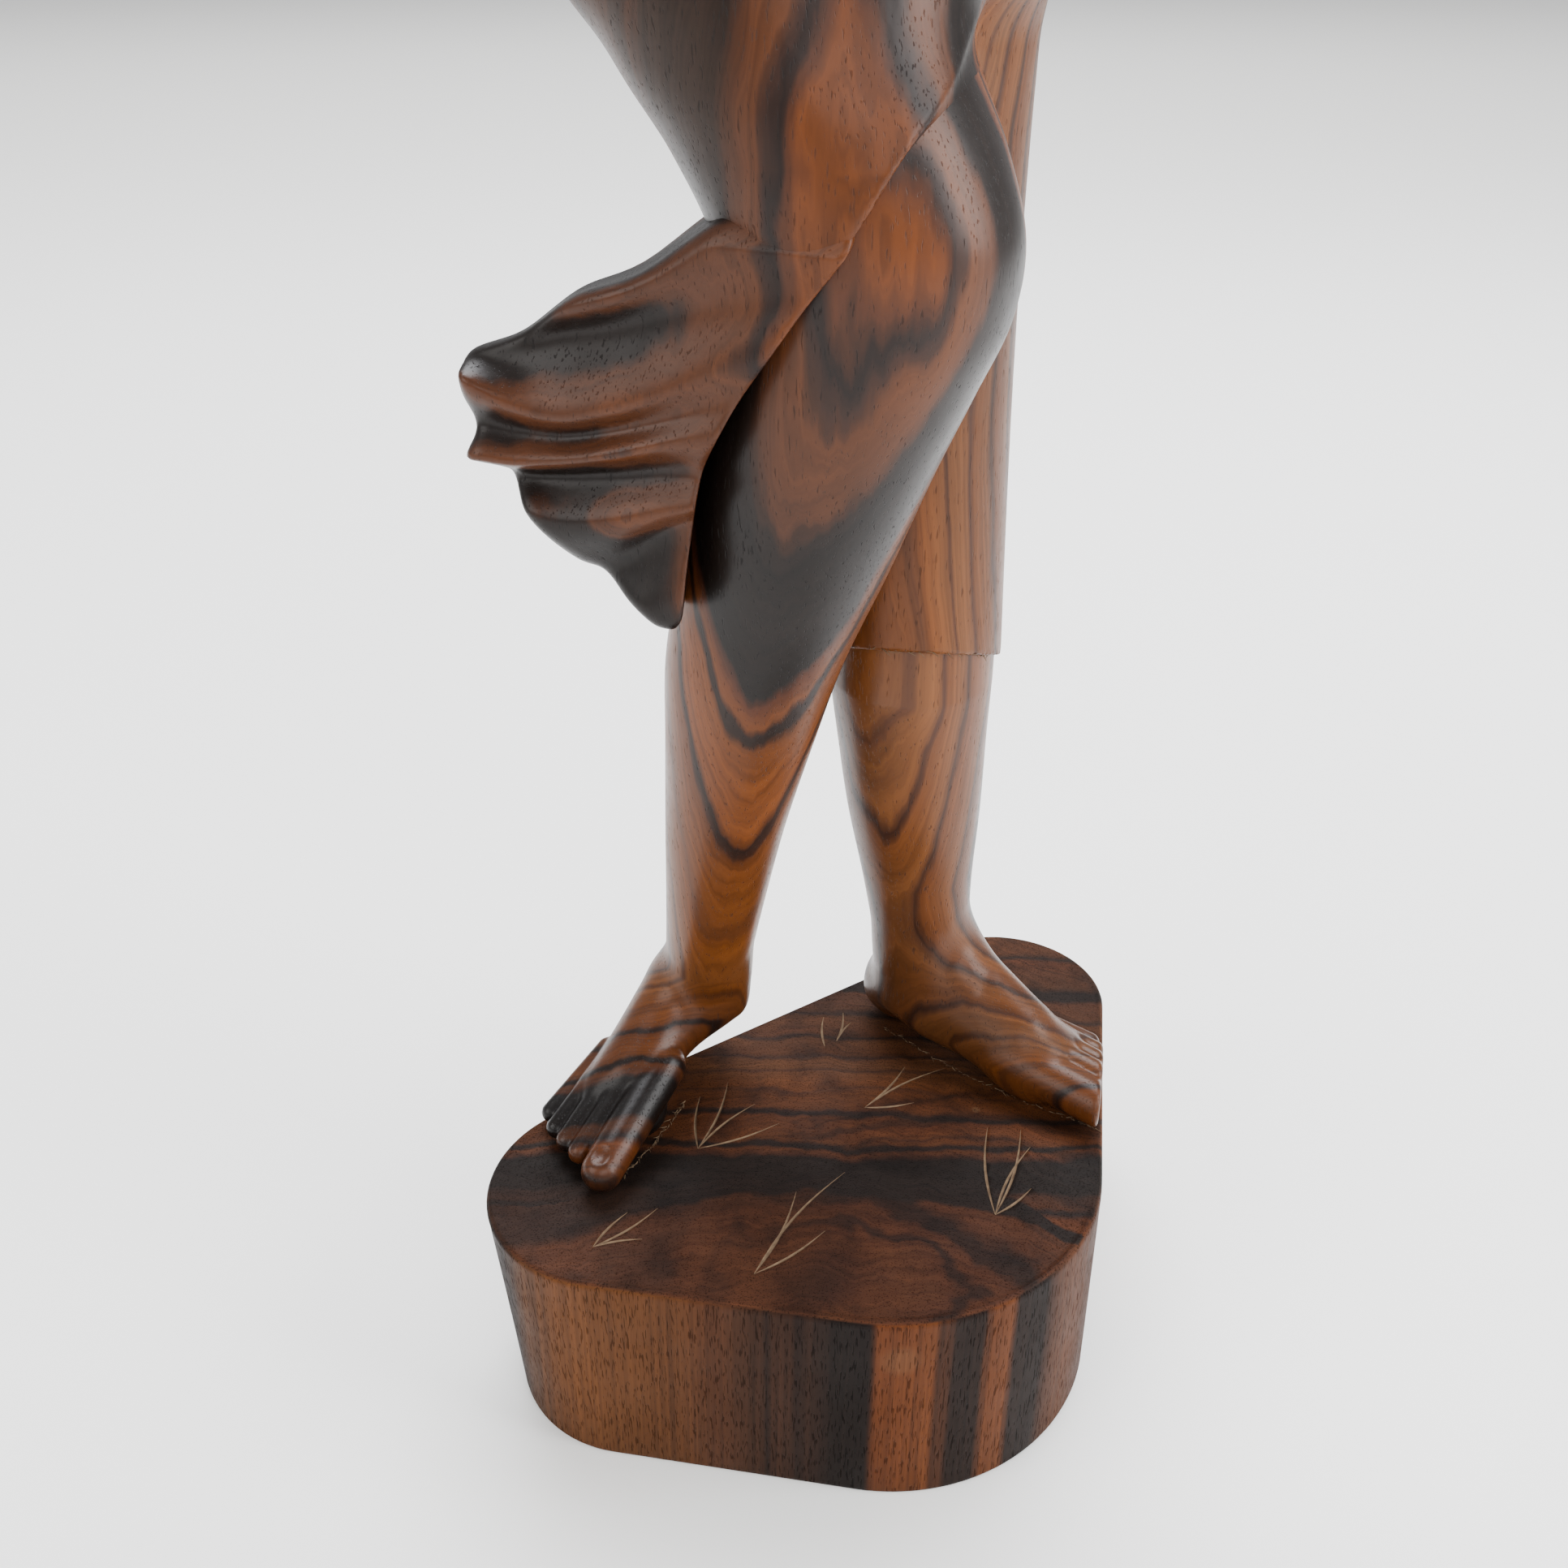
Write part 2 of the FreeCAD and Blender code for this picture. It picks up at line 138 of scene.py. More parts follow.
# meshes where a field is zero between two corners, and makes the piece for some nodes
def carve(name, field, low, high, cell, nodes, slot):
    cell *= coarse
    low = np.asarray(low, float)
    blocks = np.ceil((np.asarray(high, float) - low) / (8 * cell)).astype(int)
    # far from the surface one sample stands for a whole block of cells
    corner = np.stack(np.meshgrid(*[np.arange(n) for n in blocks], indexing="ij"), -1)
    middle = low + (corner.reshape(-1, 3) * 8 + 3.5) * cell
    rough = field(middle)
    grid = np.repeat(rough[:, None], 512, 1).astype(np.float32)
    near = np.flatnonzero(np.abs(rough) < 9.5 * cell)
    inner = np.stack(np.meshgrid(*[np.arange(8)] * 3, indexing="ij"), -1).reshape(-1, 3)
    inner = (inner - 3.5) * cell
    for first in range(0, len(near), 1500):
        chosen = near[first:first + 1500]
        points = (middle[chosen][:, None] + inner[None]).reshape(-1, 3)
        grid[chosen] = field(points).reshape(-1, 512)
    grid = grid.reshape(*blocks, 8, 8, 8).transpose(0, 3, 1, 4, 2, 5).reshape(*(blocks * 8))
    volume = openvdb.FloatGrid(background=float(4 * cell))
    volume.copyFromArray(np.clip(grid, -4 * cell, 4 * cell))
    points, quads = volume.convertToQuads(isovalue=0.0)
    points = points.astype(float) * cell + low
    for _ in range(2):
        # slide each point along the slope of the field until it sits on the surface
        step = 0.2 * cell
        here = field(points)
        slope = np.stack([field(points + step * axis) - here for axis in np.eye(3)], 1) / step
        points -= slope * np.clip(here / ((slope**2).sum(1) + 1e-6), -cell, cell)[:, None]
    mesh = bpy.data.meshes.new(name)
    mesh.from_pydata((points * mm).tolist(), [], quads[:, ::-1].tolist())
    mesh.validate()
    shell = bmesh.new()
    shell.from_mesh(mesh)
    if shell.calc_volume(signed=True) < 0:
        bmesh.ops.reverse_faces(shell, faces=shell.faces)
    shell.to_mesh(mesh)
    shell.free()
    print(f"{name}: {len(mesh.polygons)} faces, {time.time() - started:.0f} s")
    return finishPiece(name, mesh, nodes, slot)


# legs
# lowest and highest corner of a CAD node, in millimetres
def corners(node):
    return [np.array(corner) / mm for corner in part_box(node)]


def triangles(node):
    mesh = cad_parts[node].data
    mesh.calc_loop_triangles()
    places = np.array([v.co for v in mesh.vertices]) / mm
    return places[np.array([t.vertices[:] for t in mesh.loop_triangles])]


# station where a level cut goes through CAD nodes: height, middle x, middle y, half width, half depth
def cutAt(height, *nodes):
    crossings = []
    for node in nodes:
        sides = triangles(node)
        for a, b in ((0, 1), (1, 2), (2, 0)):
            below, above = sides[:, a, 2] - height, sides[:, b, 2] - height
            through = (below <= 0) != (above <= 0)
            share = (below[through] / (below[through] - above[through]))[:, None]
            crossings.append(sides[through, a] + (sides[through, b] - sides[through, a]) * share)
    crossings = np.vstack(crossings)
    low, high = crossings.min(0), crossings.max(0)
    middle, half = (low + high) / 2, (high - low) / 2
    return [height, middle[0], middle[1], half[0], half[1]]


blockTop = corners("base_block")[1][2]
legShape = {
    "rightHeights": [60, 80, 98, 115, 131, 146, 164, 174, 183, 192, 203, 212, 222, 232],
    "leftHeights": [58, 66, 77, 94, 109, 120],
    "ankleSlim": 0.85, "calfFrom": 80, "calfTo": 150, "deeper": 1.05, "shinBow": -1.7, "kneeOut": 1.5,
}
rightLegStations = []
for height in legShape["rightHeights"]:
    station = cutAt(height, "right_lower_leg", "sarong_right_panel")
    grown = smoothStep(height, legShape["calfFrom"], legShape["calfTo"])
    station[3] *= legShape["ankleSlim"] + (1 - legShape["ankleSlim"]) * grown
    station[4] *= legShape["deeper"]
    station[1] += legShape["shinBow"] * smoothStep(height, 105, 135) * (1 - smoothStep(height, 162, 180))
    station[1] += legShape["kneeOut"] * smoothStep(height, 174, 185) * (1 - smoothStep(height, 192, 208))
    rightLegStations.append(station)
leftLegStations = [cutAt(height, "left_lower_leg") for height in legShape["leftHeights"]]
for station in leftLegStations:
    # the calf is rounder than the CAD cone, most of all halfway up
    fuller = 1 + 0.1 * smoothStep(station[0], 70, 94)
    station[3] *= fuller
    station[4] *= fuller


# a foot in its own frame: s runs from the heel forward, t towards the big toe, u up
def footField(p, heel, heading, medial, shape):
    q = (p - np.asarray(heel, float)) @ facing(heading).T
    q = q * np.array([1, medial, 1.0])
    body = lump(q, *shape["heel"])
    for start, end, radius, tip in shape["instep"]:
        body = softMin(body, rod(q, start, end, radius, tip), 5)
    body = softMin(body, lump(q, *shape["ball"]), 4)
    for start, end, radius, tip in shape["toes"]:
        body = softMin(body, rod(q, start, end, radius, tip), 0.7)
    for middle, turn, size in shape["nails"]:
        nail = lump(q, middle, size, facing(turn))
        body = softMax(body, -nail, 0.25)
    return body


# where a foot's heel meets the block, at a share of its CAD node's box
def heelOf(node, share):
    low, high = corners(node)
    x, y = low[:2] + np.array(share) * (high - low)[:2]
    return np.array([x, y, blockTop])


footPlace = {
    # heading in degrees; medial is 1 where the big toe lies to the left of the heading, else -1
    "right": {"heel": heelOf("right_foot", (0.7, 0.85)), "heading": -117, "medial": 1},
    "left": {"heel": heelOf("left_foot", (0.11, 0.82)), "heading": -38, "medial": -1},
}


def rightLegField(p):
    shape = {
        "heel": ((2.4, -1.4, 8.2), (3.8, 4.0, 5.8)),
        "instep": [((8, 0.4, 16), (25, 1.2, 8.6), 6.4, 5.2), ((12, -1.4, 10), (28, -2.8, 5.4), 6.0, 5.2)],
        "ball": ((28, -1.2, 2.6), (7.0, 8.8, 4.4)),
        "toes": [
            ((22, 4.8, 9.6), (43.5, 5.4, 3.6), 3.9, 3.5), ((23, 1.4, 11.6), (41.0, -0.6, 3.2), 2.2, 2.1),
            ((23, -1.8, 11.0), (39.5, -4.2, 3.0), 2.1, 2.0), ((22, -4.8, 9.8), (37.5, -7.7, 2.8), 2.1, 1.9),
            ((21, -7.4, 8.2), (34.5, -10.9, 2.6), 2.1, 1.8),
        ],
        "nails": [((44.6, 5.4, 7.9), 0, (2.9, 2.2, 1.5))],
    }
    leg = column(p, rightLegStations)
    leg = softMax(leg, 53.0 - p[:, 2], 4)
    foot = footField(p, *footPlace["right"].values(), shape)
    whole = softMin(leg, foot, 6)
    ankleBone = lump(p, footPlace["right"]["heel"] + (6.3, -7.9, 19.5), (2.2, 4.0, 6.0))
    return softMax(softMin(whole, ankleBone, 4), blockTop - 0.4 - p[:, 2], 0.3)


def leftLegField(p):
    shape = {
        "heel": ((1.6, 0, 7.2), (6.6, 6.0, 7.4)),
        "instep": [((8, 0.4, 19), (28, 0.6, 9.5), 7.4, 6.2), ((14, 2.5, 9), (34, 3.0, 5), 6.6, 5.6)],
        "ball": ((32, -0.6, 4.0), (9.0, 8.8, 6.4)),
        "toes": [
            ((28, 5.2, 6.4), (47.5, 4.8, 4.6), 4.4, 4.0), ((28, 0.6, 8.0), (46.0, 0.0, 6.2), 2.9, 2.6),
            ((27, -2.8, 7.4), (43.0, -3.6, 5.6), 2.7, 2.4), ((26, -5.8, 6.4), (40.0, -7.2, 4.6), 2.5, 2.2),
            ((25, -8.2, 5.2), (37.0, -10.4, 3.4), 2.3, 2.0),
        ],
        "nails": [],
    }
    leg = column(p, leftLegStations)
    leg = softMax(leg, 50.0 - p[:, 2], 4)
    foot = footField(p, *footPlace["left"].values(), shape)
    whole = softMin(leg, foot, 7)
    ankleBone = lump(p, footPlace["left"]["heel"] + (11.6, -12.8, 16.5), (2.6, 3.6, 4.2))
    whole = softMin(whole, ankleBone, 3)
    whole = softMax(whole, p[:, 2] - 140, 1)
    # the toes were cut off level with the rim
    rimSide = corners("base_block")[1][0] - 7.4
    rim = 0.97 * (p[:, 0] - rimSide) - 0.22 * (p[:, 1] + 5)
    whole = softMax(whole, rim, 1.2)
    return softMax(whole, blockTop - 0.4 - p[:, 2], 0.3)


# carved cloth
panelShape = {
    "heights": [126, 151, 172, 198, 218, 232],
    "from": 130, "lean": -0.07, "widen": 0.0012, "deeper": 1.07,
}
leftPanelStations = [cutAt(height, "sarong_left_panel") for height in panelShape["heights"]]
for station in leftPanelStations:
    risen = max(station[0] - panelShape["from"], 0)
    station[1] += panelShape["lean"] * risen
    station[3] *= 1 + panelShape["widen"] * risen
    station[4] *= panelShape["deeper"]
hipStations = [cutAt(height, "sarong_hip_wrap") for height in (236, 250, 264, 276, 283)]
underHip = cutAt(222, "sarong_left_panel", "sarong_right_panel")
hipStations.append([222, underHip[1] - 4, underHip[2], underHip[3] * 0.92, underHip[4] * 0.92])


# the wrapped cloth's front edge across the knee, by height
hemEdge = {
    "heights": [139, 155, 167, 182, 194, 206, 212, 250],
    "across": [-22.5, -20.5, -18, -9.5, -1, 7, 11.5, 6],
}


# how far right of that edge a point is
def hemSide(p):
    edge = curveThrough(p[:, 2], hemEdge["heights"], hemEdge["across"])
    return (p[:, 0] - edge) * 0.75


def sarongField(p):
    legTube = column(p, rightLegStations)
    wrap = softMax(legTube - 1.15, hemSide(p), 0.4)
    wrap = np.maximum(wrap, 150 - p[:, 2])
    panel = column(p, leftPanelStations)
    hem = 124.2 + 0.42 * (15 - p[:, 1]) - 0.06 * (p[:, 0] - 12) - p[:, 2]
    panel = softMax(softMax(panel, hem, 0.5), p[:, 2] - 252, 8)
    hips = column(p, hipStations)
    hips = softMax(hips, 222 - p[:, 2], 6)
    cloth = softMin(panel, softMax(wrap, p[:, 2] - 245, 6), 1.6)
    thigh = softMax(softMax(legTube, 204 - p[:, 2], 8), p[:, 2] - 250, 8)
    cloth = softMin(cloth, thigh, 3)
    cloth = softMin(cloth, hips, 9)
    return softMax(cloth, p[:, 2] - 287, 0.6)


# outline of the blown cloth seen from the front, from the knee round the tip and back,
# in shares of its CAD node's width and height
drapeEdge = [
    (1.22, 1.17), (0.95, 1.10), (0.68, 0.94), (0.48, 0.87), (0.30, 0.75), (0.13, 0.69), (0.11, 0.60),
    (0.14, 0.50), (0.11, 0.42), (0.22, 0.38), (0.29, 0.25), (0.42, 0.13), (0.51, 0.10), (0.60, 0.03),
    (0.70, -0.03), (0.80, 0.03), (1.12, 0.43), (1.30, 0.84),
]
clothLow, clothHigh = corners("blown_cloth")
clothWidth, _, clothHeight = clothHigh - clothLow
drapeOutline = [(clothLow[0] + u * clothWidth, clothLow[2] + w * clothHeight) for u, w in drapeEdge]


# signed distance in the x-z plane to the blown cloth's outline
def outlineDistance(x, z):
    loop = np.array(drapeOutline, float)
    fine = []
    for i in range(len(loop)):
        a, b, c, d = (loop[(i + j - 1) % len(loop)] for j in range(4))
        for t in np.linspace(0, 1, 6, endpoint=False):
            fine.append(b + 0.5 * t * (c - a + t * (2 * a - 5 * b + 4 * c - d + t * (3 * (b - c) + d - a))))
    fine = np.array(fine)
    best = np.full(len(x), 1e9)
    inside = np.zeros(len(x), bool)
    for (ax, az), (bx, bz) in zip(fine, np.roll(fine, -1, 0)):
        ex, ez = bx - ax, bz - az
        t = np.clip(((x - ax) * ex + (z - az) * ez) / (ex * ex + ez * ez), 0, 1)
        best = np.minimum(best, (x - ax - t * ex) ** 2 + (z - az - t * ez) ** 2)
        crosses = (az > z) != (bz > z)
        inside ^= crosses & (x < ax + (z - az) * ex / (ez if abs(ez) > 1e-9 else 1e-9))
    return np.sqrt(best) * np.where(inside, -1, 1)


outlineCell = 0.5
outlineX = np.arange(-62, 12, outlineCell)
outlineZ = np.arange(126, 206, outlineCell)
outlineGrid = outlineDistance(*(a.ravel() for a in np.meshgrid(outlineX, outlineZ, indexing="ij")))
outlineGrid = outlineGrid.reshape(len(outlineX), len(outlineZ))


# fold lines of the blown cloth, top to bottom: how high each runs at these places from tip to knee,
# and how far it stands out (a ridge) or lies back (a valley)
foldPlaces = [-50, -43, -37, -30, -22, -15, -8]
foldLines = [
    ([192, 192, 192, 193, 196, 201, 205], -2.0),
    ([186, 185, 185.5, 187, 190.5, 194.5, 198], 1.6),
    ([177.5, 178.5, 180.5, 182, 184.5, 187, 189], -2.0),
    ([176.2, 172.8, 171.8, 173.5, 176.5, 180, 183], 2.2),
    ([170, 168.6, 168.3, 169.8, 172.5, 175.5, 178], -0.2),
    ([165.4, 164.9, 165.6, 167.2, 169.5, 171, 172], 2.3),
    ([162.4, 161.9, 162.3, 163.4, 165, 165.5, 166], -2.0),
    ([158.5, 157.5, 156.8, 158, 160.5, 162, 163], 1.5),
    ([146, 146, 147.5, 150.5, 157, 160.5, 161.5], -2.2),
    ([140, 140, 141, 143.5, 147, 150, 152], 0.9),
    ([134, 134, 134, 135, 136, 137, 138], -1.5),
]


# the blown cloth: thick at the knee, thinning to its edge, with bold folds running out to it
def drapeField(p):
    gx = np.clip((p[:, 0] - outlineX[0]) / outlineCell, 0, len(outlineX) - 1.001)
    gz = np.clip((p[:, 2] - outlineZ[0]) / outlineCell, 0, len(outlineZ) - 1.001)
    i, k = gx.astype(int), gz.astype(int)
    u, v = gx - i, gz - k
    flat = ((outlineGrid[i, k] * (1 - u) + outlineGrid[i + 1, k] * u) * (1 - v)
            + (outlineGrid[i, k + 1] * (1 - u) + outlineGrid[i + 1, k + 1] * u) * v)
    heights = np.stack([curveThrough(p[:, 0], foldPlaces, line) for line, _ in foldLines], 1)
    crossed = np.clip((heights > p[:, 2:3]).sum(1) - 1, 0, len(foldLines) - 2)
    row = np.arange(len(p))
    above, below = heights[row, crossed], heights[row, crossed + 1]
    fold = crossed + np.clip((above - p[:, 2]) / (above - below), 0, 1)
    relief = curveThrough(fold, range(len(foldLines)), [height for _, height in foldLines])
    relief *= 0.25 + 0.75 * smoothStep(-p[:, 0], 8, 36)
    middle = curveThrough(p[:, 0], [-52, -40, -30, -20, -10, 0], [-9, -10, -12, -14, -16.5, -20])
    half = curveThrough(p[:, 0], [-52, -40, -30, -20, -10, 0], [2.0, 3.0, 4.6, 6.6, 9.2, 11.0])
    half = half - 0.8 * np.maximum(p[:, 2] - 194, 0) * smoothStep(p[:, 0], -21, -9)
    slab = np.abs(p[:, 1] - (middle - relief)) - half
    body = softMax(flat, slab, 2.2)
    return softMax(body, hemSide(p) - 0.4, 0.8)


pieces = {}
pieces["rightLeg"] = carve("rightBareLeg", lambda p: softMax(rightLegField(p), p[:, 2] - 232, 0.6),
                           (-56, -34, 41), (28, 30, 234), 0.58,
                           ["right_lower_leg", "right_foot"], "ebony_skin")
pieces["leftLeg"] = carve("leftBareLeg", leftLegField, (-2, -14, 41), (60, 36, 142), 0.5,
                          ["left_lower_leg", "left_foot"], "ebony_skin")
pieces["sarong"] = carve("wrappedSarong", sarongField, (-46, -34, 118), (36, 36, 290), 0.7,
                         ["sarong_left_panel", "sarong_right_panel", "sarong_hip_wrap"], "ebony_cloth")
pieces["drape"] = carve("blownCloth", drapeField, (-56, -34, 134), (2, 4, 198), 0.45,
                        ["blown_cloth"], "ebony_cloth")


# block underfoot
# the convex outline of a CAD node's level face, anticlockwise
def outlineAt(height, node):
    places = triangles(node).reshape(-1, 3)
    flat = np.unique(np.round(places[np.abs(places[:, 2] - height) < 0.01][:, :2], 3), axis=0)
    middle = (flat.min(0) + flat.max(0)) / 2
    return flat[np.argsort(np.arctan2(flat[:, 1] - middle[1], flat[:, 0] - middle[0]))]


# evenly spaced points round a closed outline
def evenly(outline, count):
    loop = np.vstack([outline, outline[:1]])
    run = np.concatenate([[0], np.cumsum(np.linalg.norm(np.diff(loop, axis=0), axis=1))])
    at = np.linspace(0, run[-1], count, endpoint=False)
    return np.stack([np.interp(at, run, loop[:, k]) for k in (0, 1)], 1)


def topHeight(x, y):
    return blockTop + 0.16 * math.sin(x / 9 + 1) * math.sin(y / 7) - 0.14


def makeBlock():
    count = 400
    rim = evenly(outlineAt(blockTop, "base_block"), count)
    below = outlineAt(0, "base_block")
    # the foot is the rim drawn in and shifted, as the CAD block's is
    share = np.ptp(below, axis=0) / np.ptp(rim, axis=0)
    foot = below.min(0) + (rim - rim.min(0)) * share
    ahead = np.roll(rim, -1, 0) - np.roll(rim, 1, 0)
    outward = np.stack([ahead[:, 1], -ahead[:, 0]], 1)
    outward /= np.linalg.norm(outward, axis=1)[:, None]
    turn = np.linspace(0, 2 * np.pi, count, endpoint=False)
    ripple = 0.25 * np.sin(5 * turn + 1) + 0.18 * np.sin(11 * turn) + 0.1 * np.sin(23 * turn + 2)
    rings = []
    for share in (0.25, 0.5, 0.75, 0.93):
        rings.append((foot * share, 0.0))
    for step in range(4):
        a = math.radians(30 * step)
        rings.append((foot - outward * 0.7 * (1 - math.sin(a)), 0.7 * (1 - math.cos(a))))
    for share in np.linspace(0.03, 0.965, 16):
        wave = ripple * math.sin(math.pi * share) * 0.8
        wall = foot + (rim - foot) * share + outward * wave[:, None]
        rings.append((wall, blockTop * share))
    for step in range(1, 7):
        a = math.radians(15 * step)
        rings.append((rim - outward * 1.1 * (1 - math.cos(a)), blockTop - 1.1 * (1 - math.sin(a))))
    inner = rim - outward * 1.1
    for share in np.linspace(0.985, 0.04, 40):
        rings.append((inner * share, blockTop))
    shell = bmesh.new()
    rows = []
    for flat, height in rings:
        rows.append([shell.verts.new((x * mm, y * mm, height * mm)) for x, y in flat])
    for low, high in zip(rows, rows[1:]):
        for i in range(count):
            j = (i + 1) % count
            shell.faces.new((low[i], low[j], high[j], high[i]))
    for row, order in ((rows[0], -1), (rows[-1], 1)):
        middle = shell.verts.new(sum((v.co for v in row), Vector()) / count)
        for i in range(count):
            pair = (row[i], row[(i + 1) % count])[::order]
            shell.faces.new((*pair, middle))
    # the top was dressed by hand, so it dips and swells a little away from the rim
    for v in shell.verts:
        if v.co.z > blockTop * mm - 1e-5 and v.link_faces:
            x, y = v.co.x / mm, v.co.y / mm
            v.co.z = mm * topHeight(x, y)
    mesh = bpy.data.meshes.new("freeFormBlock")
    bmesh.ops.recalc_face_normals(shell, faces=shell.faces)
    shell.to_mesh(mesh)
    shell.free()
    return finishPiece("freeFormBlock", mesh, ["base_block"], "ebony_block")


pieces["block"] = makeBlock()


# scored grass and raw fibre
# an sRGB hex colour as linear values
def toLinear(code):
    parts = [int(code[i:i + 2], 16) / 255 for i in (1, 3, 5)]
    return [c / 12.92 if c <= 0.04045 else ((c + 0.055) / 1.055) ** 2.4 for c in parts] + [1.0]


# adds a node: its kind, perhaps with an operation, its inputs in order or by name, and its settings;
# an input is a value, a socket, or a node that gives its first output
def nodeAdder(tree):
    def add(kind, *inputs, **settings):
        kind, *operation = kind.split()
        node = tree.nodes.new(kind if hasattr(bpy.types, kind) else "ShaderNode" + kind)
        for name, value in [("operation", word) for word in operation] + list(settings.items()):
            setattr(node, name, value)
        if inputs and isinstance(inputs[0], dict):
            pairs = [(node.inputs[key], value) for key, value in inputs[0].items()]
        else:
            pairs = zip([socket for socket in node.inputs if socket.enabled], inputs)
        for socket, value in pairs:
            if isinstance(value, bpy.types.Node):
                value = next(output for output in value.outputs if output.enabled)
            if isinstance(value, bpy.types.NodeSocket):
                tree.links.new(value, socket)
            else:
                socket.default_value = value
        return node
    return add


# bare wood fibre where the gouge broke the polished skin: pale straw, dull
def makeFibreWood():
    material = bpy.data.materials.new("rawWoodFibre")
    material.use_nodes = True
    add = nodeAdder(material.node_tree)
    shader = material.node_tree.nodes["Principled BSDF"]
    place = add("TexCoord").outputs["Object"]
    grain = add("TexNoise", {"Vector": place, "Scale": 900.0, "Detail": 2.0})
    tint = add("Mix", grain, toLinear("#35261C"), toLinear("#75624C"), data_type="RGBA")
    material.node_tree.links.new(tint.outputs["Result"], shader.inputs["Base Color"])
    shader.inputs["Roughness"].default_value = 0.85
    shader.inputs["Specular IOR Level"].default_value = 0.15
    return material


fibreWood = makeFibreWood()


# applies a node group to a piece for good, with its named inputs set
def runGroup(piece, group, values):
    modifier = piece.modifiers.new(group.name, "NODES")
    modifier.node_group = group
    for item in group.interface.items_tree:
        if item.item_type == "SOCKET" and item.in_out == "INPUT" and item.name in values:
            modifier[item.identifier] = values[item.name]
    evaluated = piece.evaluated_get(bpy.context.evaluated_depsgraph_get())
    mesh = bpy.data.meshes.new_from_object(evaluated)
    piece.modifiers.remove(modifier)
    piece.data = mesh
    return piece


def newGroup(name, sockets):
    group = bpy.data.node_groups.new(name, "GeometryNodeTree")
    group.interface.new_socket("Geometry", in_out="INPUT", socket_type="NodeSocketGeometry")
    for label, kind, value in sockets:
        socket = group.interface.new_socket(label, in_out="INPUT", socket_type=kind)
        if value is not None:
            socket.default_value = value
    group.interface.new_socket("Geometry", in_out="OUTPUT", socket_type="NodeSocketGeometry")
    return group, nodeAdder(group)


# swells each line of points into a closed pointed blade
def bladeGroup():
    group, add = newGroup("scoredBlades", [
        ("Width", "NodeSocketFloat", 0.0003), ("Material", "NodeSocketMaterial", None)])
    given = add("NodeGroupInput").outputs
    line = add("GeometryNodeMeshToCurve", {"Mesh": given["Geometry"]})
    along = add("GeometryNodeSplineParameter").outputs["Factor"]
    belly = add("Math MULTIPLY", add("Math POWER", along, 0.78), math.pi)
    radius = add("Math MULTIPLY_ADD", add("Math SINE", belly), 0.82, 0.18)
    wide = add("Math MULTIPLY", radius, given["Width"])
    ring = add("GeometryNodeCurvePrimitiveCircle", {"Resolution": 6, "Radius": 1.0})
    blade = add("GeometryNodeCurveToMesh", {
        "Curve": line, "Profile Curve": ring, "Scale": wide, "Fill Caps": True})
    made = add("GeometryNodeRealizeInstances", {"Geometry": blade})
    made = add("GeometryNodeSetMaterial", {"Geometry": made, "Material": given["Material"]})
    add("NodeGroupOutput", {"Geometry": made})
    return group


# scatters fine splinters along each line of points
def splinterGroup():
    group, add = newGroup("rawSplinters", [
        ("Count", "NodeSocketInt", 60), ("Seed", "NodeSocketInt", 3),
        ("Length", "NodeSocketFloat", 0.001), ("Material", "NodeSocketMaterial", None)])
    given = add("NodeGroupInput").outputs
    line = add("GeometryNodeMeshToCurve", {"Mesh": given["Geometry"]})
    even = add("GeometryNodeResampleCurve", {"Curve": line, "Count": given["Count"]})
    flow = add("GeometryNodeInputTangent")
    aim = add("FunctionNodeAlignRotationToVector", {"Vector": flow}, axis="Z")
    jitter = add("FunctionNodeRandomValue", {
        "Min": (-0.5, -0.5, -3), "Max": (0.5, 0.5, 3), "Seed": given["Seed"]}, data_type="FLOAT_VECTOR")
    turned = add("FunctionNodeRotateRotation", {"Rotation": aim, "Rotate By": jitter.outputs["Value"]},
                 rotation_space="LOCAL")
    size = add("FunctionNodeRandomValue", {2: 0.35, 3: 1.25, "Seed": given["Seed"]}, data_type="FLOAT")
    splinter = add("GeometryNodeMeshCone", {
        "Vertices": 5, "Radius Top": 0.00002, "Radius Bottom": 0.00008, "Depth": given["Length"]})
    shift = add("FunctionNodeRandomValue", {
        "Min": (-0.00025, -0.00025, -0.00012), "Max": (0.00025, 0.00025, 0.00018), "Seed": 11},
        data_type="FLOAT_VECTOR")
    strewn = add("GeometryNodeSetPosition", {"Geometry": even, "Offset": shift.outputs["Value"]})
    many = add("GeometryNodeInstanceOnPoints", {
        "Points": strewn, "Instance": splinter, "Rotation": turned, "Scale": size.outputs[1]})
    made = add("GeometryNodeRealizeInstances", {"Geometry": many})
    made = add("GeometryNodeSetMaterial", {"Geometry": made, "Material": given["Material"]})
    add("NodeGroupOutput", {"Geometry": made})
    return group


# an object of open lines, each a list of points in millimetres
def linesObject(name, lines):
    points, edges = [], []
    for line in lines:
        edges += [(len(points) + i, len(points) + i + 1) for i in range(len(line) - 1)]
        points += [tuple(c * mm for c in point) for point in line]
    mesh = bpy.data.meshes.new(name)
    mesh.from_pydata(points, edges, [])
    lineObject = bpy.data.objects.new(name, mesh)
    bpy.context.scene.collection.objects.link(lineObject)
    return lineObject


# tufts cut into the top: root as shares of the block's box, then each blade's heading in degrees and length
tufts = [
    ((0.51, 0.645), [(90, 9)]), ((0.53, 0.66), [(80, 9), (63, 6.5)]),
    ((0.31, 0.375), [(91, 13.5), (75, 18), (50, 15), (25, 15.5)]),
    ((0.57, 0.48), [(54, 13.5), (35, 18.5), (8, 9)]),
    ((0.75, 0.225), [(87, 20.5), (71, 21), (63, 17.5), (41, 9)]),
    ((0.40, 0.10), [(69, 19), (56, 27), (38, 14.5)]),
    ((0.17, 0.155), [(57, 9), (41, 13), (13, 8)]),
]


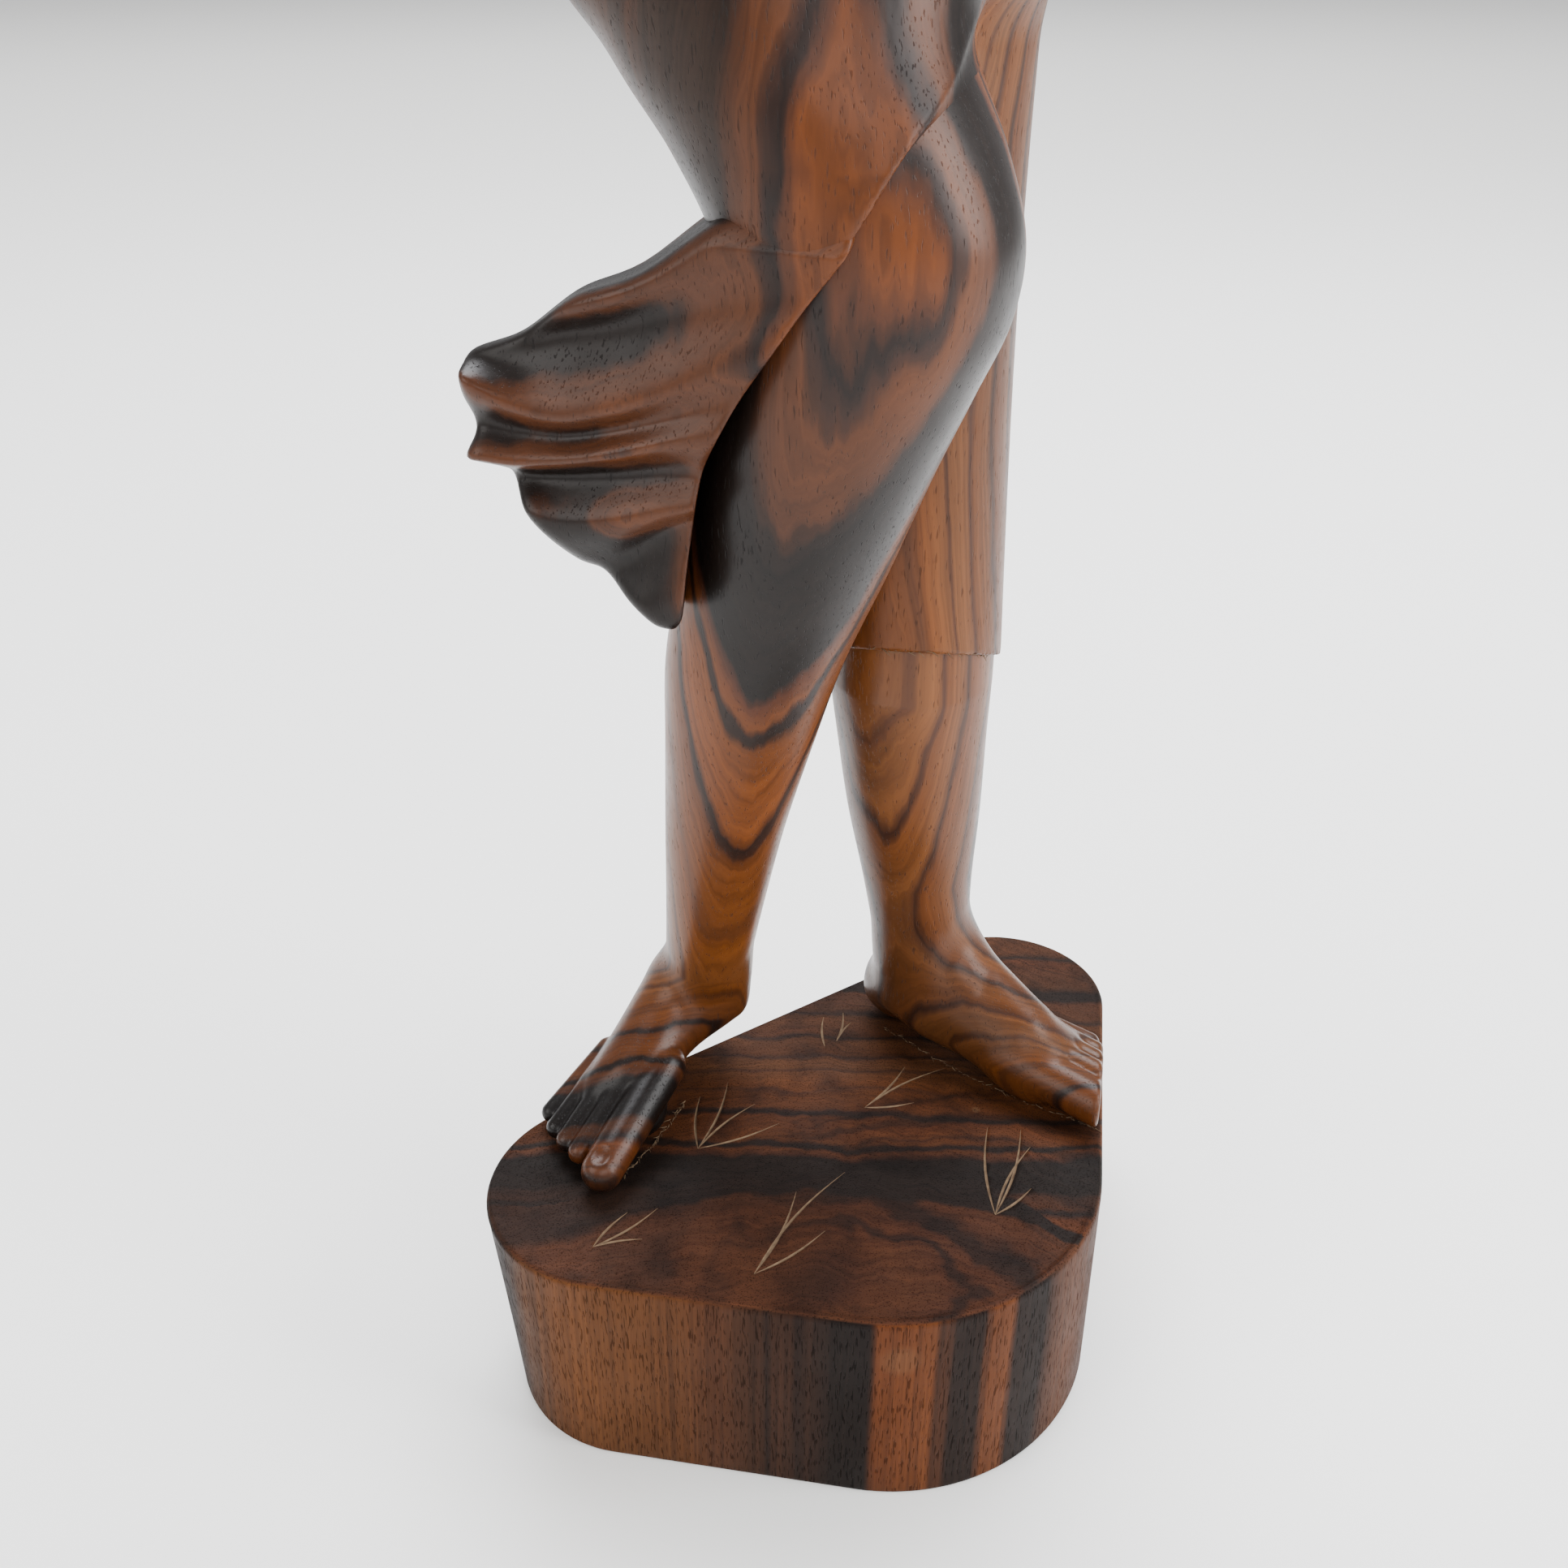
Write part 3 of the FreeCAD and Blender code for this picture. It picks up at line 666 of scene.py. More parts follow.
def scoreGrass(block):
    lines = []
    low, high = corners("base_block")
    for number, (share, tips) in enumerate(tufts):
        root = low[:2] + np.array(share) * (high[:2] - low[:2])
        for turn, (heading, length) in enumerate(tips):
            tip = root + length * facing(heading)[0][:2]
            bow = 0.05 * (-1) ** (turn + number)
            line = []
            for t in np.linspace(0, 1, 9):
                side = bow * math.sin(math.pi * t)
                x = root[0] + (tip[0] - root[0]) * t - (tip[1] - root[1]) * side
                y = root[1] + (tip[1] - root[1]) * t + (tip[0] - root[0]) * side
                line.append((x, y, topHeight(x, y) + 0.03))
            lines.append(line)
    cutter = linesObject("grassCutter", lines)
    blades = runGroup(cutter, bladeGroup(), {"Width": 0.00024, "Material": fibreWood})
    block.data.materials.append(None)
    block.data.materials.append(fibreWood)
    for face in blades.data.polygons:
        face.material_index = 0
    cut = block.modifiers.new("grass", "BOOLEAN")
    cut.operation, cut.solver, cut.object = "DIFFERENCE", "EXACT", blades
    cut.use_self = True
    cut.material_mode = "TRANSFER"
    before = block.data
    evaluated = block.evaluated_get(bpy.context.evaluated_depsgraph_get())
    mesh = bpy.data.meshes.new_from_object(evaluated)
    block.modifiers.remove(cut)
    block.data = mesh
    bpy.data.objects.remove(blades)
    check = bmesh.new()
    check.from_mesh(mesh)
    loose = sum(not edge.is_manifold for edge in check.edges)
    check.free()
    print(f"grass: {len(before.polygons)} to {len(mesh.polygons)} faces, {loose} open edges,",
          [m.name if m else None for m in mesh.materials])


scoreGrass(pieces["block"])

# torn fibre where a foot's inner side meets the block, in the foot's own frame
tornSide = {
    "right": {"first": 19, "last": 40, "out": 7, "bow": 0.6},
    "left": {"first": 2, "last": 48, "out": 5.6, "bow": 2.2},
}
tornLines = []
for name, side in tornSide.items():
    place = footPlace[name]
    along, across, _ = facing(place["heading"])
    line = []
    for t in np.linspace(0, 1, 8):
        out = place["medial"] * (side["out"] + side["bow"] * math.sin(math.pi * t))
        x, y, _ = place["heel"] + along * (side["first"] + (side["last"] - side["first"]) * t) + across * out
        line.append((x, y))
    tornLines.append(line)
tornPoints = [[(x, y, topHeight(x, y) + 0.1) for x, y in line] for line in tornLines]
# and round the front of the hem at mid calf
hemLine = []
for turn in np.radians(np.arange(-52, 64, 6)):
    x, y = 12.4 + 14.15 * math.sin(turn), 15 - 14.1 * math.cos(turn)
    hemLine.append((x, y, 124.4 + 0.42 * (15 - y) - 0.06 * (x - 12)))
splinters = linesObject("tornFibre", [*tornPoints, hemLine])
runGroup(splinters, splinterGroup(), {"Count": 70, "Seed": 3, "Length": 0.0013, "Material": fibreWood})
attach(splinters, "root")
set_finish(splinters, "ebony_block")
print(f"fibre: {len(splinters.data.polygons)} faces, {time.time() - started:.0f} s")


# upper body
def unit(v):
    v = np.asarray(v, float)
    return v / np.linalg.norm(v)


# the same place on each side of the face, which is centred on x = 3
def both(x):
    return (3 - x, 3 + x)


waistStations = [(280, -1.5, 6, 27.0, 20.5), (285, -1.2, 6, 25.4, 19.0), (290, -1, 6, 23.6, 17.4),
                 (296, -1, 6, 22.2, 16.2), (300, -1, 6, 21.2, 15.6)]
trunkStations = [(280, -1.5, 6, 25, 18.5), (290, -1, 6, 21.4, 15.8), (300, -1, 6, 20.8, 15.4),
                 (314, 0, 5.6, 22.4, 17.0), (336, 2, 4.8, 24.6, 18.0), (350, 2.6, 5.6, 26.0, 14.6),
                 (360, 3, 6, 26.5, 12.2)]


def torsoField(p):
    trunk = softMax(column(p, trunkStations), np.maximum(p[:, 2] - 358, 287 - p[:, 2]), 8)
    for side in both(28.5):
        trunk = softMin(trunk, rod(p, (3, 7.2, 369), (side, 6.4, 362), 8.4, 7.8), 7)
    trunk = softMin(trunk, rod(p, (3, 7.5, 368), (3, 4.5, 409), 9.4, 8.6), 9)
    for side in both(4.0):
        out = 1 if side > 3 else -1
        trunk = softMin(trunk, rod(p, (side, -2.6, 366.5), (side + out * 17, -0.4, 366.5), 1.3, 1.1), 2.5)
    trunk = softMax(trunk, -lump(p, (3, -6.6, 370.5), (2.6, 2.6, 2.4)), 2)
    return softMax(trunk, -lump(p, (-1, -10.2, 303.5), (1.3, 1.6, 1.7)), 0.8)


def bodiceField(p):
    cloth = column(p, [(308, -0.4, 5.8, 22.4, 17.0), (314, 0, 5.6, 23.8, 18.4), (325, 1.2, 5, 25.0, 19.2),
                       (338, 2, 4.6, 26.2, 19.4), (350, 2.6, 5.4, 27.0, 16.8), (356, 2.8, 5.8, 27.2, 15.0)])
    for x in (-6.6, 11.4):
        cloth = softMin(cloth, lump(p, (x, -10.4, 336.5), (9.6, 9.0, 9.8)), 5)
    around = np.arctan2(p[:, 0] - 2, 5 - p[:, 1])
    pleat = 0.26 * np.sin(p[:, 2] * 1.05 + 2.6 * np.cos(around) + around * 1.6)
    edge = smoothStep(np.abs(p[:, 2] - 333), 14, 19)
    cloth = cloth - pleat * (1 - edge) - 0.5 * edge
    top = p[:, 2] - (352 - 2.4 * np.cos(around) + 1.4 * np.cos(2 * around))
    return softMax(softMax(cloth, top, 0.8), 313.4 - p[:, 2], 0.8)


def sashField(p):
    band = column(p, waistStations) - 1.2
    around = np.arctan2(p[:, 0] + 1, 6 - p[:, 1])
    wound = p[:, 2] * 1.75 + 1.6 * around
    band = band - 0.55 * np.sin(wound) - 0.18 * np.sin(2.3 * wound + 1)
    band = softMax(band, np.abs(p[:, 2] - 289.7) - 6.2, 1.6)
    # the tucked end hangs over the front of the hip
    tail = rod(p, (9, -12.6, 291), (13, -16.4, 270), 3.4, 4.6)
    tail = softMax(tail, np.abs(p[:, 1] + 13.4 + (291 - p[:, 2]) * 0.2) - 2.2, 1.2)
    knot = lump(p, (8.6, -12.8, 290), (5.2, 3.6, 4.6))
    return softMin(softMin(band, tail - 0.3 * np.sin(p[:, 0] * 2.6), 1.0), knot, 1.0)


def headField(p):
    skull = lump(p, (3, 3.6, 429), (16.8, 19.4, 22.4))
    face = softMin(skull, lump(p, (3, -2.6, 416), (12.6, 13.6, 15.6)), 8)
    for x in both(7.6):
        face = softMin(face, lump(p, (x, -9.6, 420.2), (5.6, 5.8, 6.4)), 5)
    face = softMin(face, lump(p, (3, -12.4, 404.8), (4.6, 3.8, 4.0)), 4)
    for x in both(6.3):
        face = softMax(face, -lump(p, (x, -19.6, 428.4), (5.2, 4.4, 3.2)), 2.4)
        face = softMin(face, lump(p, (x, -12.9, 427.6), (4.2, 3.3, 2.8)), 0.7)
        # lowered lids: one fine line under each
        lid = np.abs(p[:, 2] - (426.4 + 0.045 * (p[:, 0] - x) ** 2)) - 0.22
        face = softMax(face, -np.maximum(np.maximum(lid, np.abs(p[:, 0] - x) - 3.7),
                                         np.abs(p[:, 1] + 17) - 2.2), 0.25)
        out = 1 if x > 3 else -1
        browLine = [(-3.8, -15.0, 431.4), (0, -14.4, 432.8), (4.6, -11.4, 431.8)]
        for near, far in zip(browLine, browLine[1:]):
            brow = rod(p, (x + out * near[0], *near[1:]), (x + out * far[0], *far[1:]), 0.8, 0.7)
            face = softMin(face, brow, 2.0)
    face = softMin(face, rod(p, (3, -14.4, 431.5), (3, -18.2, 420.6), 1.4, 2.1), 2.2)
    for x in both(2.2):
        face = softMin(face, lump(p, (x, -16.6, 419.2), (1.7, 2.2, 1.4)), 0.9)
        face = softMax(face, -lump(p, (x - 0.2, -17.6, 417.8), (0.7, 0.9, 0.6)), 0.4)
    upperLip = lump(p, (3, -15.6, 413.5), (4.7, 2.4, 1.25))
    lips = softMin(upperLip, lump(p, (3, -15.4, 411.3), (3.9, 2.3, 1.35)), 0.3)
    face = softMin(face, lips, 1.0)
    face = softMax(face, -lump(p, (3, -17.6, 416.2), (0.8, 0.9, 1.3)), 0.6)
    for x in both(16.8):
        out = 1 if x > 3 else -1
        ear = lump(p, (x, -2.2, 424.0), (2.1, 4.0, 6.4))
        ear = softMax(ear, -lump(p, (x + out * 2.0, -2.8, 425.0), (1.5, 2.4, 4.0)), 0.6)
        face = softMin(face, ear, 0.8)
    return face


def hairField(p):
    turn = np.arctan2(p[:, 0] - 3, p[:, 2] - 437)
    comb = np.abs(np.sin(turn * 30 + 0.5 * np.sin(p[:, 1] * 0.35)))
    hair = lump(p, (3, 3.9, 429), (19.0, 21.4, 24.4)) + 0.5 * (1 - comb)
    nape = lump(p, (3, 9, 411), (12.6, 10.5, 11.0)) + 0.5 * (1 - comb)
    hair = softMin(hair, nape, 5)
    hair = softMax(hair, -lump(p, (3, -24.5, 419), (16.0, 18.0, 24.5)), 1.2)
    hair = softMax(hair, 402.5 + 0.6 * np.maximum(6 - p[:, 1], 0) - p[:, 2], 2)
    for x in both(18.9):
        hair = softMax(hair, -lump(p, (x, -3.0, 423.0), (3.6, 5.4, 8.2)), 1.0)
    return hair


def bunField(p):
    q = p - np.array([3, 27.5, 438])
    reach = np.hypot(q[:, 0], q[:, 2])
    wind = reach / 3.1 - np.arctan2(q[:, 2], q[:, 0]) / (2 * np.pi) + 0.04 * q[:, 1]
    coil = np.abs(np.sin(np.pi * wind)) * smoothStep(reach, 0.5, 3)
    strand = 0.12 * np.sin(wind * 38)
    return lump(q, (0, 0, 0), (11.6, 9.6, 11.6)) + 0.9 * (1 - coil) - 0.4 + strand


def armField(p, joints, girth, bodyNormal, thumbSide):
    shoulder, elbow, wrist, tips = (np.asarray(j, float) for j in joints)
    arm = rod(p, shoulder, elbow, girth[0], girth[1])
    arm = softMin(arm, lump(p, shoulder + (elbow - shoulder) * 0.12, (8.8, 8.6, 10.5)), 4)
    arm = softMin(arm, rod(p, elbow, wrist, girth[1] - 0.3, girth[2] - 0.6), 2)
    swell = elbow + (wrist - elbow) * 0.28
    arm = softMin(arm, rod(p, swell, elbow + (wrist - elbow) * 0.5, girth[1] - 0.5, girth[2]), 3)
    ahead, face = unit(tips - wrist), unit(bodyNormal)
    across = unit(np.cross(face, ahead)) * thumbSide
    frame3 = np.array([ahead, across, np.cross(ahead, across)])
    palm = lump(p, wrist + ahead * 6.4, (7.6, 6.2, 3.1), frame3)
    arm = softMin(arm, palm, 2.5)
    for place, length in ((3.9, 9.6), (1.35, 11.4), (-1.3, 10.8), (-3.8, 8.4)):
        root = wrist + ahead * 10.6 + across * place
        knuckle = root + ahead * length * 0.5 + across * place * 0.08 + face * 0.5
        end = root + ahead * length + across * place * 0.14 - face * 0.9
        finger = softMin(rod(p, root, knuckle, 1.65, 1.5), rod(p, knuckle, end, 1.5, 1.15), 0.6)
        arm = softMin(arm, finger, 0.6)
    thumbRoot = wrist + ahead * 3.6 + across * 4.2
    thumbBend = thumbRoot + ahead * 4.2 + across * 3.6
    thumbTip = thumbBend + ahead * 5 + across * 0.6
    thumb = softMin(rod(p, thumbRoot, thumbBend, 2.2, 1.8), rod(p, thumbBend, thumbTip, 1.8, 1.3), 0.6)
    return softMin(arm, thumb, 1.0)


def rightArmField(p):
    joints = ((-28.5, 6.2, 363), (-57, 19, 303), (-43, -8.5, 266), (-35, -16, 256))
    return armField(p, joints, (7.6, 6.2, 4.9), (-0.52, -0.85, 0.1), 1)


def leftArmField(p):
    return armField(p, ((34.5, 6.2, 363), (48, 10, 297), (24, -17, 318), (13, -19.6, 327)), (7.6, 6.2, 4.9),
                    (0.26, -0.96, 0), 1)


pieces["sash"] = carve("foldedSash", sashField, (-32, -26, 264), (30, 32, 298), 0.5,
                       ["waist_sash"], "ebony_cloth")
pieces["torso"] = carve("bareTorso", torsoField, (-36, -18, 286), (42, 26, 412), 0.6,
                        ["midriff", "shoulders", "neck"], "ebony_skin")
pieces["bodice"] = carve("pleatedBodice", bodiceField, (-30, -26, 311), (36, 30, 358), 0.5,
                         ["bodice"], "ebony_cloth")
pieces["head"] = carve("calmFace", headField, (-20, -24, 398), (26, 26, 456), 0.4, ["head"], "ebony_skin")
pieces["hair"] = carve("combedHair", hairField, (-22, -22, 398), (28, 32, 458), 0.4,
                       ["hair_cap"], "ebony_hair")
pieces["bun"] = carve("coiledBun", bunField, (-11, 15, 424), (17, 40, 452), 0.4, ["hair_bun"], "ebony_hair")
pieces["rightArm"] = carve("bareRightArm", rightArmField, (-68, -36, 238), (-16, 30, 378), 0.5,
                           ["right_upper_arm", "right_forearm", "right_hand"], "ebony_skin")
pieces["leftArm"] = carve("bareLeftArm", leftArmField, (-6, -30, 286), (60, 22, 378), 0.5,
                          ["left_upper_arm", "left_forearm", "left_hand"], "ebony_skin")


# wood
# Growth layers of the log, by how far back they lie in millimetres, front of the block first.
# Macassar ebony runs from orange brown through red brown to near black.
layers = [
    (-62, "#8C4C1C"), (-53.5, "#82461E"), (-52.2, "#16100F"), (-47.4, "#120E0E"), (-46.4, "#8A4A1A"),
    (-44.2, "#965420"), (-43.4, "#281713"), (-42.4, "#6A371B"), (-41.6, "#281815"), (-40.4, "#7C421D"),
    (-34.6, "#7A431D"), (-33.8, "#352018"), (-32.8, "#7E4218"), (-27.6, "#86461A"), (-26.9, "#5A2F18"),
    (-26.3, "#1C1110"), (-25.7, "#3A2016"), (-25.0, "#6A3A1C"), (-22.8, "#5E341C"), (-21.8, "#1C1311"),
    (-20.8, "#0B0909"), (-14.6, "#0A0909"), (-13.8, "#5A2E18"), (-12.6, "#7A421C"), (-11.9, "#1E1210"),
    (-11.2, "#26160F"), (-10.4, "#7A421A"), (-8.0, "#82461B"), (-5.0, "#804419"), (-4.1, "#241510"),
    (-3.3, "#3C2217"), (-2.6, "#7A421A"), (1.0, "#864A1C"), (2.4, "#6A3B1C"), (3.2, "#8A4C1C"),
    (7.4, "#88522A"), (8.2, "#5E3620"), (9.0, "#845029"), (12.0, "#86512A"),
    (12.9, "#4A2B1E"), (14.0, "#7A451F"), (17.5, "#814E2A"), (18.6, "#3A241B"), (19.6, "#724020"),
    (24.5, "#814E2A"), (25.4, "#3E271D"), (27.0, "#6E3F20"), (30.5, "#6A3C20"), (31.6, "#1D1411"),
    (34.0, "#1C1311"), (35.4, "#623A20"), (43.0, "#743F1F"), (44.5, "#241712"), (46.5, "#6E3F20"),
    (62, "#62381C"),
]
# The block's front wall from left to right, and its end grain: the dark belt, the lines that fan out
# behind it to the right, and the rings round the swelling in front of it.
wallBands = [
    (-58, "#2A1D19"), (-53, "#33221B"), (-50, "#78502C"), (-44, "#926034"), (-31, "#946235"),
    (-24, "#8A5A32"), (-19, "#744A2E"), (-14.5, "#5E3E29"), (-11.0, "#4E3323"), (-10.2, "#2A1C17"),
    (-9.2, "#503424"), (-6.4, "#4A3022"), (-5.4, "#271A16"), (-4.0, "#432C20"), (-1.6, "#33231C"),
    (0.6, "#191312"), (5.8, "#151011"), (6.9, "#8A5026"), (15.8, "#965A2C"), (16.6, "#553521"),
    (17.8, "#6B4227"), (19.0, "#271B17"), (23.6, "#2B1E19"), (25.0, "#8A5228"), (28.2, "#8E562C"),
    (29.4, "#2A1E1A"), (34.0, "#211918"), (35.6, "#5C3A25"), (40, "#86522A"), (44, "#70442A"),
    (50, "#805029"), (58, "#6A4128"),
]
fanLines = [
    (0, "#FFFFFF"), (1.9, "#FFFFFF"), (2.3, "#5A4A46"), (3.0, "#4E4240"), (3.6, "#FFFFFF"),
    (4.9, "#FFFFFF"), (5.3, "#463A38"), (5.7, "#FFFFFF"), (6.5, "#F0E8E4"), (6.9, "#3E3432"),
    (7.5, "#4A3E3C"), (7.9, "#FFFFFF"), (8.9, "#FFFFFF"), (9.3, "#544846"), (9.7, "#FFFFFF"), (14, "#FFFFFF"),
]
ringLines = [
    (0, "#8A7C78"), (5.0, "#C8BCB6"), (9.2, "#FFFFFF"), (11.6, "#E8DEDA"), (12.6, "#6E605C"),
    (13.4, "#85766F"), (14.4, "#F4ECE8"), (16.6, "#DDD2CC"), (17.8, "#6A5C58"), (20.4, "#5C504E"),
    (22.8, "#EDE6E2"), (30, "#FFFFFF"),
]
# across the block from left to right: where the belt runs, how wide it is, each as a share
beltMiddle = [(-60, 0.66), (-47, 0.72), (-23, 0.93), (-7, 1.0), (14, 0.9), (27, 0.77), (38, 0.5), (60, 0.0)]
beltHalf = [(-60, 0.9), (-47, 0.8), (-23, 0.42), (-7, 0.4), (14, 0.33), (27, 0.27), (38, 0.16), (60, 0.1)]
# middle, solid and faded radius, strength
stains = [((10.6, -48.6, 33.5), 2.6, 4.2, 0.1), ((26.8, -2.6, 42), 0.8, 1.0, 0.2)]


def fillRamp(node, stops, low, high):
    ramp = node.color_ramp
    while len(ramp.elements) > 1:
        ramp.elements.remove(ramp.elements[-1])
    ramp.elements[0].position = (stops[0][0] - low) / (high - low)
    ramp.elements[0].color = toLinear(stops[0][1])
    for place, code in stops[1:]:
        ramp.elements.new((place - low) / (high - low)).color = toLinear(code)


# streaked ebony cut from one log: every piece shares the layers, polish says how it is finished
def makeEbony(name, polish):
    material = bpy.data.materials.new(name)
    material.use_nodes = True
    tree = material.node_tree
    add = nodeAdder(tree)
    shader = tree.nodes["Principled BSDF"]
    blend = {"data_type": "RGBA"}
    darken = {"data_type": "RGBA", "blend_type": "MULTIPLY"}
    soft = {"interpolation_type": "SMOOTHSTEP"}
    inMm = add("VectorMath SCALE", {0: add("TexCoord").outputs["Object"], "Scale": 1000.0})
    x, y, z = add("SeparateXYZ", inMm).outputs

    # noise stretched along the trunk
    def grain(scales, size, detail, shift):
        at = add("VectorMath MULTIPLY_ADD", inMm, scales, (shift, shift * 0.7, shift * 0.3))
        return add("TexNoise", {"Vector": at, "Scale": size, "Detail": detail, "Roughness": 0.5})

    def sway(reach, *noise):
        return add("Math MULTIPLY", add("Math SUBTRACT", grain(*noise), 0.5), reach)

    # colours along a value; a long list is shared between ramps, which hold 32 stops each
    def ramp(value, stops):
        result = None
        for first in range(0, len(stops) - 1, 24):
            part = stops[first:first + 25]
            low, high = part[0][0], part[-1][0]
            node = add("ValToRGB", add("MapRange", value, low, high, 0, 1))
            fillRamp(node, part, low, high)
            if result is None:
                result = node
            else:
                result = add("Mix", add("Math GREATER_THAN", value, low), result, node, **blend)
        return result

    # a curve across the block's top, through shares of its height at places in millimetres
    def bend(value, knots):
        node = add("FloatCurve", {"Value": add("MapRange", value, -60, 60, 0, 1)})
        curve = node.mapping.curves[0]
        curve.points[0].location = ((knots[0][0] + 60) / 120, knots[0][1])
        curve.points[1].location = ((knots[-1][0] + 60) / 120, knots[-1][1])
        for at, height in knots[1:-1]:
            curve.points.new((at + 60) / 120, height)
        node.mapping.update()
        return node

    waves = sway(6.0, (0.8, 1.2, 0.16), 0.045, 1.0, 3.0)
    ripples = sway(4.0, (1, 1, 0.22), 0.12, 2.0, 11.0)
    frays = sway(0.8, (1, 1, 0.1), 0.8, 2.0, 5.0)
    # the layers lean to the right low down, up the standing leg, and against the blown cloth
    right = add("Math MAXIMUM", add("Math SUBTRACT", x, 4.0), 0.0)
    right = add("Math MULTIPLY", right, add("MapRange", z, 48, 80, 0.06, 0.8))
    right = add("Math MULTIPLY", right, add("MapRange", y, -12, 4, 0.1, 1.0))
    left = add("MapRange", z, 136, 160, -0.45, 0.28)
    left = add("Math MULTIPLY", left, add("MapRange", z, 46, 70, 0.0, 1.0))
    left = add("Math MULTIPLY", add("Math MINIMUM", add("Math ADD", x, 12.0), 0.0), left)
    thigh = add("Math MAXIMUM", add("Math SUBTRACT", -1.0, x), 0.0)
    thigh = add("Math MULTIPLY", thigh, add("MapRange", z, 196, 220, 0.0, 0.58))
    # the lower lobes of the blown cloth reach into older layers, and above the waist the log is calmer
    low = add("Math MULTIPLY", add("Math MAXIMUM", add("Math SUBTRACT", 166.0, z), 0.0), -polish["lobes"])
    calm = add("MapRange", z, 272, 306, 0.0, 19.0)
    climb = add("MapRange", z, 203, 242, 0.0, polish["climb"])
    forefoot = add("MapRange", z, 56, 66, polish["forefoot"], 0.0)
    forefoot = add("Math MULTIPLY", forefoot, add("MapRange", x, -16, -10, 1.0, 0.0))
    depth = add("Math ADD", y, thigh)
    for part in (waves, ripples, frays, right, left, low, calm, climb, forefoot):
        depth = add("Math ADD", depth, part)

    colour = ramp(depth, layers)
    upright = add("SeparateXYZ", add("NewGeometry").outputs["Normal"]).outputs[2]
    lie = add("Math ABSOLUTE", upright)
    along = depth
    if polish["endGrainRings"]:
        # the dark belt across the top, its middle and half width
        stray = add("Math ADD", add("Math MULTIPLY", ripples, 0.7), frays)
        stray = add("Math ADD", add("Math MULTIPLY", waves, 0.45), stray)
        stray = add("Math ADD", stray, add("Math MULTIPLY", ripples, 0.6))
        belt = add("MapRange", bend(x, beltMiddle), 0, 1, -44, -19)
        half = add("MapRange", bend(x, beltHalf), 0, 1, 0, 10)
        above = add("Math ADD", add("Math SUBTRACT", y, belt), stray)
        inBelt = add("Math ABSOLUTE", add("Math DIVIDE", above, half))
        inBelt = add("MapRange", inBelt, 0.75, 1.2, 1.0, 0.0, **soft)
        inBelt = add("Math MULTIPLY", inBelt, add("MapRange", x, -52, -22, 0.72, 0.97))
        # lines fan out behind it, rings lie in front of it
        fanned = ramp(add("Math DIVIDE", above, add("MapRange", x, -7, 50, 1.0, 4.2)), fanLines)
        fan = add("Mix", add("MapRange", x, -10, 2, 0.0, 0.62), colour, fanned, **darken)
        around = add("VectorMath MULTIPLY_ADD", inMm, (0.667, 1, 0), (1.33, 42, 0))
        swirl = sway(16.0, (1, 1, 1), 0.075, 3.0, 71.0)
        rings = ramp(add("Math ADD", add("VectorMath LENGTH", around), swirl), ringLines)
        brown = add("Mix", add("MapRange", x, -16, 4, 0.35, 0.95), toLinear("#74401F"), rings, **darken)
        top = add("Mix", add("Math LESS_THAN", above, 0.0), fan, brown, **blend)
        top = add("Mix", inBelt, top, toLinear("#171110"), **blend)
        top = add("Mix", 0.16, top, toLinear("#5E5048"), **blend)
        smears = [(0.25, "#6E6260"), (0.48, "#E8E2DE"), (0.75, "#FFFFFF")]
        smear = ramp(grain((1, 1, 1), 0.16, 3.0, 61.0), smears)
        top = add("Mix", 0.75, top, smear, **darken)
        sideways = add("Math ADD", x, add("Math MULTIPLY", ripples, 0.25))
        sideways = add("Math ADD", sideways, add("Math MULTIPLY", frays, 0.5))
        front = add("Mix", 1.0, ramp(sideways, wallBands), toLinear("#DCCBBE"), **darken)
        wall = add("Mix", add("MapRange", y, -26, -20, 1.0, 0.0), colour, front, **blend)
        flat = add("MapRange", lie, 0.55, 0.8, 0.0, 1.0)
        colour = add("Mix", flat, wall, top, **blend)
        # a pale stain on the front wall and the ring of a dried drop on top
        for middle, inner, outer, amount in stains:
            gap = add("VectorMath DISTANCE", inMm, middle)
            gap = add("Math ADD", gap, add("Math MULTIPLY", ripples, 0.25))
            mark = add("MapRange", gap, inner, outer, amount, 0.0)
            colour = add("Mix", mark, colour, toLinear("#C09A70"), **blend)
        across = add("Math ADD", x, add("Math MULTIPLY", y, 0.35))
        across = add("Math MULTIPLY", across, add("Math SUBTRACT", 1.0, flat))
        onTop = add("Math MULTIPLY", add("Math ADD", above, add("Math MULTIPLY", swirl, 0.5)), flat)
        along = add("Math ADD", across, onTop)

    # hair lines inside each layer
    lineAt = add("CombineXYZ", add("Math MULTIPLY", along, 1.5), add("Math MULTIPLY", z, 0.012),
                 add("Math MULTIPLY", x, 0.05))
    hairs = add("TexNoise", {"Vector": lineAt, "Scale": 1.0, "Detail": 3.0, "Roughness": 0.65})
    shade = add("MapRange", hairs, 0.3, 0.72, 0.62, 1.22)
    blotch = add("MapRange", grain((1, 1, 0.4), 0.06, 2.0, 21.0), 0.3, 0.7, 0.86, 1.14)
    # pores: short dark dashes along the trunk
    poreAt = add("VectorMath MULTIPLY", inMm, polish["poreScale"])
    pores = add("TexNoise", {"Vector": poreAt, "Scale": 1.0, "Detail": 1.0, "Roughness": 0.4})
    pore = add("MapRange", pores, polish["poreStart"], polish["poreStart"] + 0.1, 0.0, 1.0, **soft)
